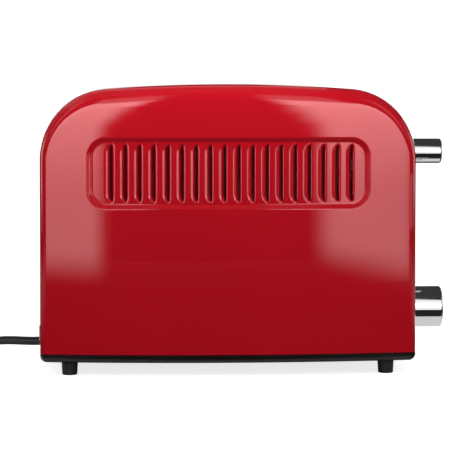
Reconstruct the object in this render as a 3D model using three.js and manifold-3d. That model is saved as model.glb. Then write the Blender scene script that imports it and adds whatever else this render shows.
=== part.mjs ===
import * as THREE from "three";
import { mergeVertices, toCreasedNormals } from "three/addons/utils/BufferGeometryUtils.js";
import Module from "manifold-3d";

// A two-slot toaster in millimetres, +Z up. X runs along the slots to the controls, Y runs to the rear.
// All pieces are placed about the middle of the body, and the whole is moved along X at the end.

// Body as a whole
const bodyLength = 257;
const bodyDepth = 164;
const bodyHeight = 198.5;
const sideBow = 9.1;
const cornerRadius = 48;
const crownRise = 2.9;
const endBulge = 3;

// Clearances
const seatGap = 0.3;
const panelGap = 0.4;
const runningGap = 1;
const cutOverrun = 2;
const mergeDistance = 0.0001;

// Pressed shells with their vent field
const shellWall = 1;
const sideFillet = 6;
const topFillet = 11;
const flangeWidth = 30;
const recessLength = 192;
const recessHeight = 48.4;
const recessDrop = 36.2;
const recessCorner = 13;
const recessDepth = 2.5;
const recessWallRun = 3;
const louvreSideRoom = 11.5;
const louvrePitch = 9.6;
const louvreWidth = 5.7;
const louvreRoom = 5.1;
const louvreDepth = 3.2;
const louvreEndRun = 5;
const louvreRim = 0.05;

// Base, feet and their screws
const footHeight = 9.1;
const footTopRadius = 5.65;
const footBottomRadius = 5.15;
const footInsetX = 19.9;
const footInsetY = 18;
const footSinkRadius = 3;
const footSinkDepth = 4;
const baseHeight = 5.7;
const baseFloor = 2.5;
const baseWall = 2.5;
const baseRound = 4.8;
const screwRadius = 1.5;
const screwHeadRadius = 2.5;
const screwHeadHeight = 1.6;
const screwCover = 1.5;
const pillarRadius = 4;
const pillarHeight = 4.9;

// Deck, end panels and bread slots
const deckThickness = 1.2;
const panelThickness = 2;
const slotEndRoom = 58.5;
const slotWidth = 30;
const slotPlaceX = -2;
const slotCorner = 6;
const collarWall = 1;
const collarDepth = 8;

// Inner frames, heat shields and heaters
const frameThickness = 1.2;
const frameSideRoom = 22;
const frameDrop = 25.6;
const cordFrameRoom = 48.5;
const controlFrameRoom = 52.5;
const frameTabReach = 20;
const frameTabHalfWidth = 8;
const frameTabDrop = 6;
const shieldThickness = 0.6;
const shieldInset = 2;
const shieldBottom = 36;
const shieldDrop = 6.9;
const cardThickness = 1;
const cardInset = 12;
const cardBottom = 46;
const cardDrop = 20.9;
const windingTurns = 7;
const windingWidth = 2.4;
const windingThickness = 0.4;
const windingMargin = 8;

// Carriage, its rod and spring, and the bread racks
const rodRadius = 3;
const rodRoom = 8;
const rodPlaceY = 12;
const rodOverTab = 2.7;
const rodSocketRadius = 6;
const rodSocketHeight = 5.4;
const sleeveRadius = 5.2;
const sleeveDrop = 14;
const sleeveHeight = 20;
const springInnerRadius = 3.5;
const springOuterRadius = 4.7;
const carriagePlateRoom = 6;
const carriagePlateThickness = 1.2;
const carriagePlateMargin = 10;
const rackDrop = 13;
const rackRailHeight = 5;
const rackRailThickness = 1.6;
const rackBarCount = 7;
const rackBarReach = 7;
const rackBarWidth = 2;
const rackEndRoom = 11.4;
const rackSlotHalfWidth = 4;

// Lever and its slot
const leverKnobRadius = 9;
const leverDrop = 21.9;
const leverLowHeight = 73;
const controlReach = 28.9;
const leverKnobLength = 22.9;
const leverArmThickness = 2;
const leverArmHeight = 10;
const leverSocketDepth = 12;
const leverSlotHalfWidth = 2.5;
const leverSlotMargin = 1.5;
const knobEdge = 1.5;

// Magnet that holds the carriage down
const magnetRoom = 7;
const magnetLength = 17.7;
const magnetNear = 8;
const magnetDepth = 12;
const magnetBottom = 34;
const magnetYoke = 5;
const magnetOuterLeg = 3.2;
const magnetMiddleLeg = 4.5;
const magnetCoilDrop = 4;
const magnetCoilWall = 2.6;
const keeperThickness = 2;
const keeperArmThickness = 2.5;
const keeperArmWidth = 4;

// Bread guides
const guidePivotHeight = 52;
const guideDrop = 24.9;
const guideWireRadius = 1;
const guideUprights = 5;
const guideSlotMargin = 1.5;
const guideSpanMargin = 6;
const guidePivotClearance = 0.35;

// Control board, browning control and buttons
const boardThickness = 1.6;
const boardMargin = 18;
const boardTop = 66;
const potRadius = 8;
const potLength = 9;
const shaftRadius = 3;
const shaftClearance = 0.5;
const browningHeight = 38.2;
const browningRadius = 15;
const browningLength = 23.4;
const browningBore = 16;
const buttonHeight = 60;
const buttonSpacing = 20;
const buttonRadius = 3.5;
const buttonReach = 4.8;
const buttonTravel = 2;
const buttonFlangeRadius = 4.6;
const buttonFlangeThickness = 1.5;
const switchHalfWidth = 3;
const switchDepth = 3.9;

// Crumb tray and its rails
const trayBottom = 21;
const traySideRoom = 16;
const trayEndRoom = 6;
const trayFloor = 0.8;
const trayWall = 0.8;
const trayRim = 6;
const trayFaceHeight = 10.3;
const trayFaceThickness = 3;
const trayFaceMargin = 2.5;
const trayFaceInset = 1;
const railInset = 4;
const railThickness = 2;
const railOverTray = 2;

// Cord, its bush, coil, tie and plug
const cordLength = 950;
const cordRadius = 3.1;
const cordExitReach = 4;
const cordExitHeight = 14.4;
const bushLength = 22;
const bushOuterRadius = 3.9;
const bushInnerRadius = 4.4;
const coilTurns = 4.25;
const coilClimbTurns = 0.5;
const coilPitch = 6.8;
const coilTail = 15;
const tieThickness = 0.8;
const tieWidth = 5;
const tieClearance = 0.6;
const plugLength = 32;
const plugNeckLength = 20;
const plugNeckRadius = 4.5;
const plugHalfWidth = 12.5;
const plugCorner = 4;
const bladeSpacing = 12.7;
const bladeHeight = 6.3;
const bladeThickness = 1.5;
const bladeReach = 16;
const bladePocket = 4;

// Counts
const cornerSteps = 9;
const crownSteps = 12;
const filletSteps = 4;
const roundSteps = 3;
const recessColumns = 10;
const planColumns = 10;
const planEndSteps = 6;
const panelColumns = 6;
const deckColumns = 2;
const smallSides = 12;
const knobSides = 28;
const footSides = 12;
const wireSides = 6;
const cordSides = 10;
const cordSteps = 9;
const coilSides = 6;
const coilStepsPerTurn = 24;

// Edges sharper than this angle stay sharp in the shading.
const creaseAngle = Math.PI / 6;

// Shares of a louvre, across it and along the rounding at its ends
const louvreAcrossShares = [0, 0.3, 0.65, 1];
const louvreEndShares = [0, 0.45, 1];

// What follows from the sizes above
const halfLength = bodyLength / 2;
const halfDepth = bodyDepth / 2;
const cornerCentreX = halfLength - cornerRadius;
const cornerCentreZ = bodyHeight - crownRise - cornerRadius;
const crownReach = (cornerCentreX ** 2 + crownRise ** 2) / (2 * crownRise);
const crownRadius = cornerRadius + crownReach;
const crownAngle = Math.asin(cornerCentreX / crownReach);
const crownCentreZ = bodyHeight - crownRadius;
const baseTop = footHeight + baseHeight;
const baseFloorTop = footHeight + baseFloor;
const bodyBottom = baseTop + seatGap;
const insideBottom = baseFloorTop + seatGap;
const flangeEdge = halfDepth - flangeWidth;
const panelEdge = flangeEdge - panelGap;
const recessBottom = bodyHeight - recessDrop - recessHeight;
const louvreHeight = recessHeight - 2 * louvreRoom;
const louvreSpan = recessLength - 2 * louvreSideRoom - louvreWidth;
const louvreCount = Math.floor(louvreSpan / louvrePitch) + 1;
const footPlaceX = halfLength - footInsetX;
const footPlaceY = halfDepth - footInsetY;
const screwTop = baseFloorTop + pillarHeight - screwCover;

const slotLength = bodyLength - 2 * slotEndRoom;
const frameHalfDepth = halfDepth - frameSideRoom;
const frameTop = bodyHeight - frameDrop;
const cordFramePlace = cordFrameRoom - halfLength;
const controlFramePlace = halfLength - controlFrameRoom;
const shieldPlaceY = frameHalfDepth - shieldInset;
const shieldTop = frameTop - shieldDrop;
const cardPlaceY = frameHalfDepth - cardInset;
const cardHeight = frameTop - cardDrop - cardBottom;
const slotPlaceY = cardPlaceY / 2;

const leverKnobHeight = frameTop - leverDrop;
const carriageTravel = leverKnobHeight - leverLowHeight;
const sleeveBottom = leverKnobHeight - sleeveDrop;
const rackTop = leverKnobHeight - rackDrop;
const carriagePlateX = controlFramePlace + carriagePlateRoom;
const carriagePlateHalfDepth = slotPlaceY + carriagePlateMargin;
const rodPlaceX = carriagePlateX + rodRoom;
const magnetPlaceX = rodPlaceX + magnetRoom;
const guideTop = frameTop - guideDrop;
const guideInset = slotWidth / 2 - guideSlotMargin;
const rackBarSpan = controlFramePlace - cordFramePlace - frameThickness - 2 * rackEndRoom;

const cordExitX = halfLength + cordExitReach;
const controlTip = halfLength + controlReach;
const buttonTip = halfLength + buttonReach;
const boardPlaceX = magnetPlaceX + magnetLength + seatGap;
const boardHalfDepth = flangeEdge - boardMargin;

const trayHalfWidth = frameHalfDepth - traySideRoom;
const trayEndX = controlFramePlace - trayEndRoom;
const trayFaceHalfWidth = trayHalfWidth + trayFaceMargin;
const trayFacePlace = halfLength - trayFaceInset;
const railPlaceY = trayHalfWidth - railInset;
const railEnd = trayEndX + railOverTray;
const coilHeight = tieThickness + tieClearance + cordRadius;

const wasm = await Module();
wasm.setup();

// Solids and geometries

function geometryOfTriangles(points) {
  const geometry = new THREE.BufferGeometry().setFromPoints(points);
  return mergeVertices(geometry, mergeDistance);
}

function toSolid(geometry) {
  const bare = geometry.clone();
  bare.deleteAttribute("normal");
  bare.deleteAttribute("uv");
  const merged = mergeVertices(bare, mergeDistance);
  const vertProperties = merged.attributes.position.array;
  const triVerts = new Uint32Array(merged.index.array);
  return new wasm.Manifold(new wasm.Mesh({ numProp: 3, vertProperties, triVerts }));
}

function toGeometry(solid) {
  const mesh = solid.getMesh();
  const geometry = new THREE.BufferGeometry();
  geometry.setAttribute("position", new THREE.BufferAttribute(mesh.vertProperties, mesh.numProp));
  geometry.setIndex(new THREE.BufferAttribute(mesh.triVerts, 1));
  return geometry;
}

function cut(geometry, ...tools) {
  const start = toSolid(geometry);
  return toGeometry(tools.reduce((solid, tool) => solid.subtract(toSolid(tool)), start));
}

function join(...geometries) {
  return toGeometry(geometries.map(toSolid).reduce((solid, next) => solid.add(next)));
}

// Triangles of a flat or nearly flat polygon, turned to face along the given direction.
function capTriangles(ring, facing) {
  const drop = ["x", "y", "z"].reduce((a, b) => (Math.abs(facing[a]) >= Math.abs(facing[b]) ? a : b));
  const [first, second] = ["x", "y", "z"].filter((axis) => axis !== drop);
  const flat = ring.map((point) => new THREE.Vector2(point[first], point[second]));
  const points = [];
  for (const [a, b, c] of THREE.ShapeUtils.triangulateShape(flat, [])) {
    const ab = ring[b].clone().sub(ring[a]);
    const ac = ring[c].clone().sub(ring[a]);
    const outward = ab.cross(ac).dot(facing) > 0;
    points.push(ring[a], outward ? ring[b] : ring[c], outward ? ring[c] : ring[b]);
  }
  return points;
}

function quad(a, b, c, d) {
  return [a, b, c, a, c, d];
}

function signedVolume(points) {
  let total = 0;
  for (let i = 0; i < points.length; i += 3) {
    total += points[i].dot(points[i + 1].clone().cross(points[i + 2]));
  }
  return total;
}

// The direction that a ring's own order of points turns about.
function ringNormal(ring) {
  const normal = new THREE.Vector3();
  ring.forEach((point, i) => {
    const next = ring[(i + 1) % ring.length];
    normal.add(point.clone().sub(ring[0]).cross(next.clone().sub(ring[0])));
  });
  return normal;
}

// A closed solid through rings of equal count, with its two end rings capped.
function loft(rings) {
  const first = rings[0];
  const last = rings[rings.length - 1];
  const points = [];
  for (let k = 0; k + 1 < rings.length; k += 1) {
    for (let i = 0; i < first.length; i += 1) {
      const next = (i + 1) % first.length;
      points.push(...quad(rings[k][i], rings[k][next], rings[k + 1][next], rings[k + 1][i]));
    }
  }
  points.push(...capTriangles(first, ringNormal(first).negate()));
  points.push(...capTriangles(last, ringNormal(last)));
  return geometryOfTriangles(signedVolume(points) < 0 ? points.reverse() : points);
}

// A closed solid between two grids of points that have the same rows and columns.
function slab(front, back) {
  const rows = front.length;
  const columns = front[0].length;
  const points = [];
  for (let i = 0; i + 1 < rows; i += 1) {
    for (let j = 0; j + 1 < columns; j += 1) {
      points.push(...quad(front[i][j], front[i + 1][j], front[i + 1][j + 1], front[i][j + 1]));
      points.push(...quad(back[i][j], back[i][j + 1], back[i + 1][j + 1], back[i + 1][j]));
    }
  }
  const rim = [];
  for (let j = 0; j + 1 < columns; j += 1) rim.push([0, j]);
  for (let i = 0; i + 1 < rows; i += 1) rim.push([i, columns - 1]);
  for (let j = columns - 1; j > 0; j -= 1) rim.push([rows - 1, j]);
  for (let i = rows - 1; i > 0; i -= 1) rim.push([i, 0]);
  rim.forEach(([i, j], k) => {
    const [m, n] = rim[(k + 1) % rim.length];
    points.push(...quad(front[i][j], front[m][n], back[m][n], back[i][j]));
  });
  return geometryOfTriangles(signedVolume(points) < 0 ? points.reverse() : points);
}

// Plain shapes by their limits

function block(x0, x1, y0, y1, z0, z1) {
  const geometry = new THREE.BoxGeometry(x1 - x0, y1 - y0, z1 - z0);
  return geometry.translate((x0 + x1) / 2, (y0 + y1) / 2, (z0 + z1) / 2);
}

function rodAlongX(radius, x0, x1, y, z, sides) {
  const geometry = new THREE.CylinderGeometry(radius, radius, x1 - x0, sides);
  return geometry.rotateZ(-Math.PI / 2).translate((x0 + x1) / 2, y, z);
}

function rodAlongZ(radius, z0, z1, x, y, sides) {
  const geometry = new THREE.CylinderGeometry(radius, radius, z1 - z0, sides);
  return geometry.rotateX(Math.PI / 2).translate(x, y, (z0 + z1) / 2);
}

// A profile of [radius, height] pairs turned about a line along Z, or about one along X.
function turnedAlongZ(profile, x, y, sides) {
  const points = profile.map(([radius, height]) => new THREE.Vector2(radius, height));
  return new THREE.LatheGeometry(points, sides).rotateX(Math.PI / 2).translate(x, y, 0);
}

function turnedAlongX(profile, y, z, sides) {
  const points = profile.map(([radius, place]) => new THREE.Vector2(radius, place));
  return new THREE.LatheGeometry(points, sides).rotateZ(-Math.PI / 2).translate(0, y, z);
}

// Points of a rounded rectangle about the origin, as pairs, with its long edges divided.
function roundedRectangle(halfWidth, halfHeight, corner, divisions) {
  const points = [];
  const centres = [[1, 1], [-1, 1], [-1, -1], [1, -1]];
  centres.forEach(([sx, sz], k) => {
    const cx = sx * (halfWidth - corner);
    const cz = sz * (halfHeight - corner);
    for (let i = 0; i <= roundSteps; i += 1) {
      const angle = ((k + i / roundSteps) * Math.PI) / 2;
      points.push([cx + corner * Math.cos(angle), cz + corner * Math.sin(angle)]);
    }
    if (k % 2 === 1) return;
    for (let i = 1; i < divisions; i += 1) {
      points.push([cx * (1 - (2 * i) / divisions), sz * halfHeight]);
    }
  });
  return points;
}

// Outline of the body

function faceReach(x) {
  return halfDepth - sideBow * (x / halfLength) ** 2;
}

function bulgeAt(y) {
  return Math.abs(y) < flangeEdge ? endBulge * (1 - (y / flangeEdge) ** 2) : 0;
}

// Stations of the front outline from the left seam over the crown to the right seam. topShare is 0 on
// the upright ends and 1 on the crown.
function outlineStations(bottom) {
  const left = [{ x: -halfLength, z: bottom, angle: Math.PI, topShare: 0 }];
  for (let i = 0; i <= cornerSteps; i += 1) {
    const topShare = i / cornerSteps;
    const angle = Math.PI - topShare * (Math.PI / 2 - crownAngle);
    const x = -cornerCentreX + cornerRadius * Math.cos(angle);
    const z = cornerCentreZ + cornerRadius * Math.sin(angle);
    left.push({ x, z, angle, topShare });
  }
  const right = left.map(({ x, z, angle, topShare }) => ({ x: -x, z, angle: Math.PI - angle, topShare }));
  const crown = [];
  for (let i = 1; i < crownSteps; i += 1) {
    const angle = Math.PI / 2 + crownAngle * (1 - (2 * i) / crownSteps);
    const x = crownRadius * Math.cos(angle);
    crown.push({ x, z: crownCentreZ + crownRadius * Math.sin(angle), angle, topShare: 1 });
  }
  return [...left, ...crown, ...right.reverse()];
}

function insetStation(station, inset, y) {
  const x = station.x - Math.cos(station.angle) * inset;
  const z = station.z - Math.sin(station.angle) * inset;
  return new THREE.Vector3(x, y, z);
}

// The front half of the body as one closed solid: flat to the middle, rounded over to the bowed side.
function halfLoaf(inset, bottom, innerEdge, sideInset) {
  const stations = outlineStations(bottom);
  const filletOf = (station) => sideFillet + (topFillet - sideFillet) * station.topShare - inset;
  const rows = [stations.map((station) => insetStation(station, inset, -innerEdge))];
  for (let j = 0; j <= filletSteps; j += 1) {
    const angle = ((j / filletSteps) * Math.PI) / 2;
    rows.push(stations.map((station) => {
      const radius = filletOf(station);
      const point = insetStation(station, inset + radius * (1 - Math.cos(angle)), 0);
      point.y = -(faceReach(point.x) - inset - sideInset - radius * (1 - Math.sin(angle)));
      return point;
    }));
  }
  const points = [];
  for (let j = 0; j + 1 < rows.length; j += 1) {
    for (let i = 0; i + 1 < stations.length; i += 1) {
      points.push(...quad(rows[j][i], rows[j + 1][i], rows[j + 1][i + 1], rows[j][i + 1]));
    }
  }
  const edge = rows[rows.length - 1];
  const tops = edge.slice(1, -1);
  const feet = tops.map((point) => new THREE.Vector3(point.x, point.y, bottom));
  feet[0] = edge[0];
  feet[feet.length - 1] = edge[edge.length - 1];
  for (let i = 0; i + 1 < tops.length; i += 1) {
    points.push(...quad(tops[i], feet[i], feet[i + 1], tops[i + 1]));
  }
  const leftFoot = rows.slice(0, -1).map((row) => row[0]);
  const rightFoot = rows.slice(0, -1).map((row) => row[row.length - 1]);
  const under = [...leftFoot, ...feet, ...rightFoot.reverse()];
  points.push(...capTriangles(under, new THREE.Vector3(0, 0, -1)));
  points.push(...capTriangles(rows[0], new THREE.Vector3(0, 1, 0)));
  return geometryOfTriangles(points);
}

// The slanted-wall pocket of the vent field, wall thickness further in for the inside of the sheet.
function recessPocket(wall) {
  const middleZ = recessBottom + recessHeight / 2;
  const ringAt = (depth) => {
    const grow = wall - (recessWallRun * (depth - wall)) / recessDepth;
    const halfWidth = recessLength / 2 + grow;
    const outline = roundedRectangle(halfWidth, recessHeight / 2 + grow, recessCorner + grow, recessColumns);
    return outline.map(([x, z]) => new THREE.Vector3(x, depth - faceReach(x), middleZ + z));
  };
  const mouth = ringAt(-cutOverrun);
  const flat = mouth.map((point) => new THREE.Vector3(point.x, -halfDepth - 2 * cutOverrun, point.z));
  return loft([flat, mouth, ringAt(recessDepth + wall + cutOverrun)]);
}

function louvreStarts() {
  const first = (-(louvreCount - 1) * louvrePitch - louvreWidth) / 2;
  return Array.from({ length: louvreCount }, (_, i) => first + i * louvrePitch);
}

// The pressed-in scoop of one louvre: flush at its left and its two ends, deepest at the sheared right edge.
function louvreScoop(left, wall) {
  const bottom = recessBottom + louvreRoom;
  const ends = louvreEndShares.map((share) => share * louvreEndRun);
  const heights = [...ends, ...ends.map((run) => louvreHeight - run).reverse()];
  const width = louvreWidth - (wall > 0 ? seatGap : 0);
  const gridAt = (depthOf) => louvreAcrossShares.map((across) => heights.map((height) => {
    const x = left + across * width;
    const run = Math.min(height, louvreHeight - height, louvreEndRun) / louvreEndRun;
    const endShare = Math.sqrt(1 - (1 - run) ** 2);
    const depth = depthOf(Math.sin((across * Math.PI) / 2) * endShare);
    return new THREE.Vector3(x, depth + recessDepth - faceReach(x), bottom + height);
  }));
  const outside = gridAt(() => -cutOverrun);
  const pressed = gridAt((share) => wall + share * louvreDepth - louvreRim);
  return slab(outside, pressed);
}

// A pressed shell: the body's half, less the same half one wall further in.
function sideShell() {
  const pressing = (inset, bottom, innerEdge) => {
    const half = halfLoaf(inset, bottom, innerEdge, 0);
    const field = cut(recessPocket(inset), halfLoaf(inset, bottom, innerEdge, recessDepth));
    const scoops = louvreStarts().map((left) => louvreScoop(left, inset));
    return cut(half, field, ...scoops);
  };
  const outer = pressing(0, bodyBottom, flangeEdge);
  const inner = pressing(shellWall, bodyBottom - cutOverrun, flangeEdge - cutOverrun);
  return cut(outer, inner);
}

// Base, feet and screws

function planRing(inset, z) {
  const cornerX = halfLength - sideFillet;
  const cornerY = faceReach(cornerX) - sideFillet;
  const quarter = [];
  for (let i = 0; i < planColumns / 2; i += 1) {
    const x = (cornerX * 2 * i) / planColumns;
    quarter.push([x, -faceReach(x) + inset]);
  }
  for (let i = 0; i <= roundSteps; i += 1) {
    const angle = ((i / roundSteps) * Math.PI) / 2;
    const reach = sideFillet - inset;
    quarter.push([cornerX + reach * Math.sin(angle), -cornerY - reach * Math.cos(angle)]);
  }
  for (let i = 0; i < planEndSteps / 2; i += 1) {
    const y = -flangeEdge * (1 - (2 * i) / planEndSteps);
    quarter.push([halfLength + bulgeAt(y) - inset, y]);
  }
  const end = [[halfLength + endBulge - inset, 0]];
  const frontRight = [...quarter];
  const backRight = quarter.map(([x, y]) => [x, -y]).reverse();
  const rightHalf = [...frontRight, ...end, ...backRight];
  const leftHalf = rightHalf.map(([x, y]) => [-x, -y]).filter(([x]) => x < 0);
  return [...rightHalf, ...leftHalf].map(([x, y]) => new THREE.Vector3(x, y, z));
}

function footPlaces() {
  return [["front_left", -1, -1], ["front_right", 1, -1], ["rear_left", -1, 1], ["rear_right", 1, 1]];
}

function basePlate() {
  const rings = [];
  for (let i = 0; i <= roundSteps; i += 1) {
    const angle = ((i / roundSteps) * Math.PI) / 2;
    const inset = baseRound * (1 - Math.sin(angle));
    rings.push(planRing(inset, footHeight + baseRound * (1 - Math.cos(angle))));
  }
  rings.push(planRing(0, baseTop));
  const hollow = loft([planRing(baseWall, baseFloorTop), planRing(baseWall, baseTop + cutOverrun)]);
  const rails = [-1, 1].map((side) => {
    const y = side * railPlaceY;
    const railTop = trayBottom - seatGap;
    const start = -halfLength + baseWall + runningGap;
    return block(start, railEnd, y - railThickness / 2, y + railThickness / 2, footHeight + baseFloor / 2, railTop);
  });
  const pillarRoot = footHeight + baseFloor / 2;
  const pillars = footPlaces().map(([, sx, sy]) => {
    const top = baseFloorTop + pillarHeight;
    return rodAlongZ(pillarRadius, pillarRoot, top, sx * footPlaceX, sy * footPlaceY, smallSides);
  });
  const socketTop = baseFloorTop + rodSocketHeight;
  const socket = rodAlongZ(rodSocketRadius, pillarRoot, socketTop, rodPlaceX, rodPlaceY, smallSides);
  const screwHoles = footPlaces().map(([, sx, sy]) => {
    const radius = screwRadius + seatGap;
    const top = screwTop + seatGap;
    return rodAlongZ(radius, footHeight - cutOverrun, top, sx * footPlaceX, sy * footPlaceY, smallSides);
  });
  const boreTop = socketTop + cutOverrun;
  const bore = rodAlongZ(rodRadius + seatGap, baseFloorTop, boreTop, rodPlaceX, rodPlaceY, smallSides);
  const trough = cordTrough();
  return cut(join(cut(loft(rings), hollow), ...rails, ...pillars, socket), ...screwHoles, bore, trough);
}

function cordTrough() {
  const radius = bushInnerRadius + seatGap;
  const outside = -cordExitX - cutOverrun;
  const inside = -cordExitX + bushLength + seatGap;
  return rodAlongX(radius, outside, inside, 0, cordExitHeight, knobSides);
}

function foot(x, y) {
  const top = footHeight - seatGap;
  const bore = screwRadius + seatGap;
  const profile = [
    [footSinkRadius, 0],
    [footBottomRadius, 0],
    [footTopRadius, top],
    [bore, top],
    [bore, footSinkDepth],
    [footSinkRadius, footSinkDepth],
    [footSinkRadius, 0],
  ];
  return turnedAlongZ(profile, x, y, footSides);
}

function footScrew(x, y) {
  const headTop = footSinkDepth - seatGap;
  const profile = [
    [0, headTop - screwHeadHeight],
    [screwHeadRadius, headTop - screwHeadHeight],
    [screwHeadRadius, headTop],
    [screwRadius, headTop],
    [screwRadius, screwTop],
    [0, screwTop],
  ];
  return turnedAlongZ(profile, x, y, smallSides);
}

// Deck and end panels

// A strip that follows the outline between two depths under it, panelGap short of the shells' flanges.
function outlineStrip(stations, outer, inner, count, bulge) {
  const columns = Array.from({ length: count + 1 }, (_, i) => panelEdge * ((2 * i) / count - 1));
  const gridAt = (inset) => stations.map((station) => columns.map((y) => {
    return insetStation(station, inset - bulge(y) * (1 - station.topShare), y);
  }));
  return slab(gridAt(outer), gridAt(inner));
}

function slotOutline(halfLengthOfSlot, halfWidthOfSlot, corner, y, z) {
  const outline = roundedRectangle(halfLengthOfSlot, halfWidthOfSlot, corner, 1);
  return outline.map(([x, across]) => new THREE.Vector3(slotPlaceX + x, y + across, z));
}

function topDeck() {
  const crown = outlineStations(bodyBottom).filter((station) => station.topShare === 1);
  const flat = () => 0;
  const deck = outlineStrip(crown, 0, deckThickness, deckColumns, flat);
  const overDeck = outlineStrip(crown, -2 * cutOverrun, deckThickness / 2, deckColumns, flat);
  const collarBottom = cornerCentreZ + cornerRadius - deckThickness - collarDepth;
  const above = bodyHeight + cutOverrun;
  const collars = [-1, 1].map((side) => {
    const y = side * slotPlaceY;
    const length = slotLength / 2 + collarWall;
    const width = slotWidth / 2 + collarWall;
    const ringAt = (z) => slotOutline(length, width, slotCorner + collarWall, y, z);
    return cut(loft([ringAt(collarBottom), ringAt(bodyHeight)]), overDeck);
  });
  const holes = [-1, 1].map((side) => {
    const y = side * slotPlaceY;
    const ringAt = (z) => slotOutline(slotLength / 2, slotWidth / 2, slotCorner, y, z);
    return loft([ringAt(collarBottom - cutOverrun), ringAt(above)]);
  });
  return cut(join(deck, ...collars), ...holes);
}

// Stations from the seam up to the deck, stopped one gap before it.
function endStations() {
  const all = outlineStations(bodyBottom);
  const end = all.slice(0, cornerSteps + 2);
  const last = end[end.length - 1];
  const gapAngle = panelGap / cornerRadius;
  const angle = last.angle + gapAngle;
  const x = -cornerCentreX + cornerRadius * Math.cos(angle);
  const z = cornerCentreZ + cornerRadius * Math.sin(angle);
  return [...end.slice(0, -1), { x, z, angle, topShare: 1 }];
}

function cordEndPanel() {
  const panel = outlineStrip(endStations(), 0, panelThickness, panelColumns, bulgeAt);
  const outside = -halfLength - endBulge - cutOverrun;
  const inside = -halfLength + panelThickness + cutOverrun;
  const faceTop = trayBottom + trayFaceHeight + panelGap;
  const reach = trayFaceHalfWidth + panelGap;
  const traySlot = block(outside, inside, -reach, reach, trayBottom - seatGap - panelGap, faceTop);
  return cut(panel, traySlot, cordTrough());
}

function controlEndPanel() {
  const panel = outlineStrip(endStations(), 0, panelThickness, panelColumns, bulgeAt).rotateZ(Math.PI);
  const inside = halfLength - panelThickness - cutOverrun;
  const outside = halfLength + endBulge + cutOverrun;
  const armBottom = leverKnobHeight - leverArmHeight / 2 - carriageTravel;
  const slotTop = leverKnobHeight + leverArmHeight / 2 + leverSlotMargin;
  const slotHalf = leverSlotHalfWidth;
  const slotBottom = armBottom - leverSlotMargin;
  const leverSlot = block(cornerCentreX, outside, -slotHalf, slotHalf, slotBottom, slotTop);
  const shaftRadiusFree = shaftRadius + shaftClearance;
  const shaftHole = rodAlongX(shaftRadiusFree, inside, outside, 0, browningHeight, smallSides);
  const buttonHoles = buttonPlaces().map(([, y]) => {
    return rodAlongX(buttonRadius + seatGap, inside, outside, y, buttonHeight, smallSides);
  });
  return cut(panel, leverSlot, shaftHole, ...buttonHoles);
}

// Frames, shields and heaters

function frameSlots(x) {
  const bottom = rackTop - rackRailHeight - carriageTravel - runningGap;
  const rackSlots = [-1, 1].map((side) => {
    const y = side * slotPlaceY;
    const half = rackSlotHalfWidth;
    return block(x - cutOverrun, x + frameThickness + cutOverrun, y - half, y + half, bottom, rackTop + runningGap);
  });
  const pivotHoles = guidePlaces().map(([, y]) => {
    const radius = guideWireRadius + guidePivotClearance;
    const end = x + frameThickness + cutOverrun;
    return rodAlongX(radius, x - cutOverrun, end, y, guidePivotHeight, smallSides);
  });
  return [...rackSlots, ...pivotHoles];
}

function framePlate(x) {
  return block(x, x + frameThickness, -frameHalfDepth, frameHalfDepth, insideBottom, frameTop);
}

function cordEndFrame() {
  const x = cordFramePlace;
  const half = trayHalfWidth + runningGap + railThickness;
  const top = trayBottom + trayFaceHeight + runningGap;
  const passage = block(x - cutOverrun, x + frameThickness + cutOverrun, -half, half, 0, top);
  return cut(framePlate(x), passage, ...frameSlots(x));
}

function rodTabTop() {
  return frameTop - frameTabDrop;
}

function controlEndFrame() {
  const x = controlFramePlace;
  const tabTop = rodTabTop();
  const near = rodPlaceY - frameTabHalfWidth;
  const far = rodPlaceY + frameTabHalfWidth;
  const tabBottom = tabTop - frameThickness;
  const tab = block(x + frameThickness / 2, x + frameTabReach, near, far, tabBottom, tabTop);
  const boreTop = tabTop + cutOverrun;
  const bore = rodAlongZ(rodRadius + seatGap, tabBottom - cutOverrun, boreTop, rodPlaceX, rodPlaceY, smallSides);
  return cut(join(framePlate(x), tab), bore, ...frameSlots(x));
}

function betweenFrames() {
  return [cordFramePlace + frameThickness + seatGap, controlFramePlace - seatGap];
}

function heatShield(side) {
  const [start, end] = betweenFrames();
  const y = side * shieldPlaceY;
  const half = shieldThickness / 2;
  return block(start, end, y - half, y + half, shieldBottom, shieldTop);
}

function heaterCard(y) {
  const [start, end] = betweenFrames();
  const half = cardThickness / 2;
  return block(start, end, y - half, y + half, cardBottom, cardBottom + cardHeight);
}

// One flat ribbon wound round a card: each corner of its path is a ring of four points.
function heaterWinding(y) {
  const [start, end] = betweenFrames();
  const middle = (start + end) / 2;
  const near = cardThickness / 2 + seatGap;
  const far = near + windingThickness;
  const reach = (end - start) / 2 + seatGap / 2 - windingMargin;
  const rise = (cardHeight - 2 * windingMargin) / windingTurns;
  const cardEnd = (end - start) / 2;
  const corners = [[-1, -1], [1, -1], [1, 1], [-1, 1]];
  const rings = [];
  for (let i = 0; i < windingTurns * corners.length; i += 1) {
    const [sx, sy] = corners[i % corners.length];
    const z = cardBottom + windingMargin + (rise * i) / corners.length;
    const at = (across, high) => {
      const x = middle + sx * (reach + across - near);
      return new THREE.Vector3(x, y + sy * across, z + high);
    };
    const half = windingWidth / 2;
    rings.push([at(near, -half), at(far, -half), at(far, half), at(near, half)]);
  }
  return { geometry: loft(rings), notch: cardEnd - reach };
}

// A card is notched at both ends where the ribbon passes round it.
function notchedCard(y) {
  const [start, end] = betweenFrames();
  const depth = heaterWinding(y).notch + seatGap;
  const low = cardBottom + windingMargin - windingWidth;
  const high = cardBottom + cardHeight - windingMargin + windingWidth;
  const across = cardThickness;
  const left = block(start - cutOverrun, start + depth, y - across, y + across, low, high);
  const right = block(end - depth, end + cutOverrun, y - across, y + across, low, high);
  return cut(heaterCard(y), left, right);
}

// Carriage

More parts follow.
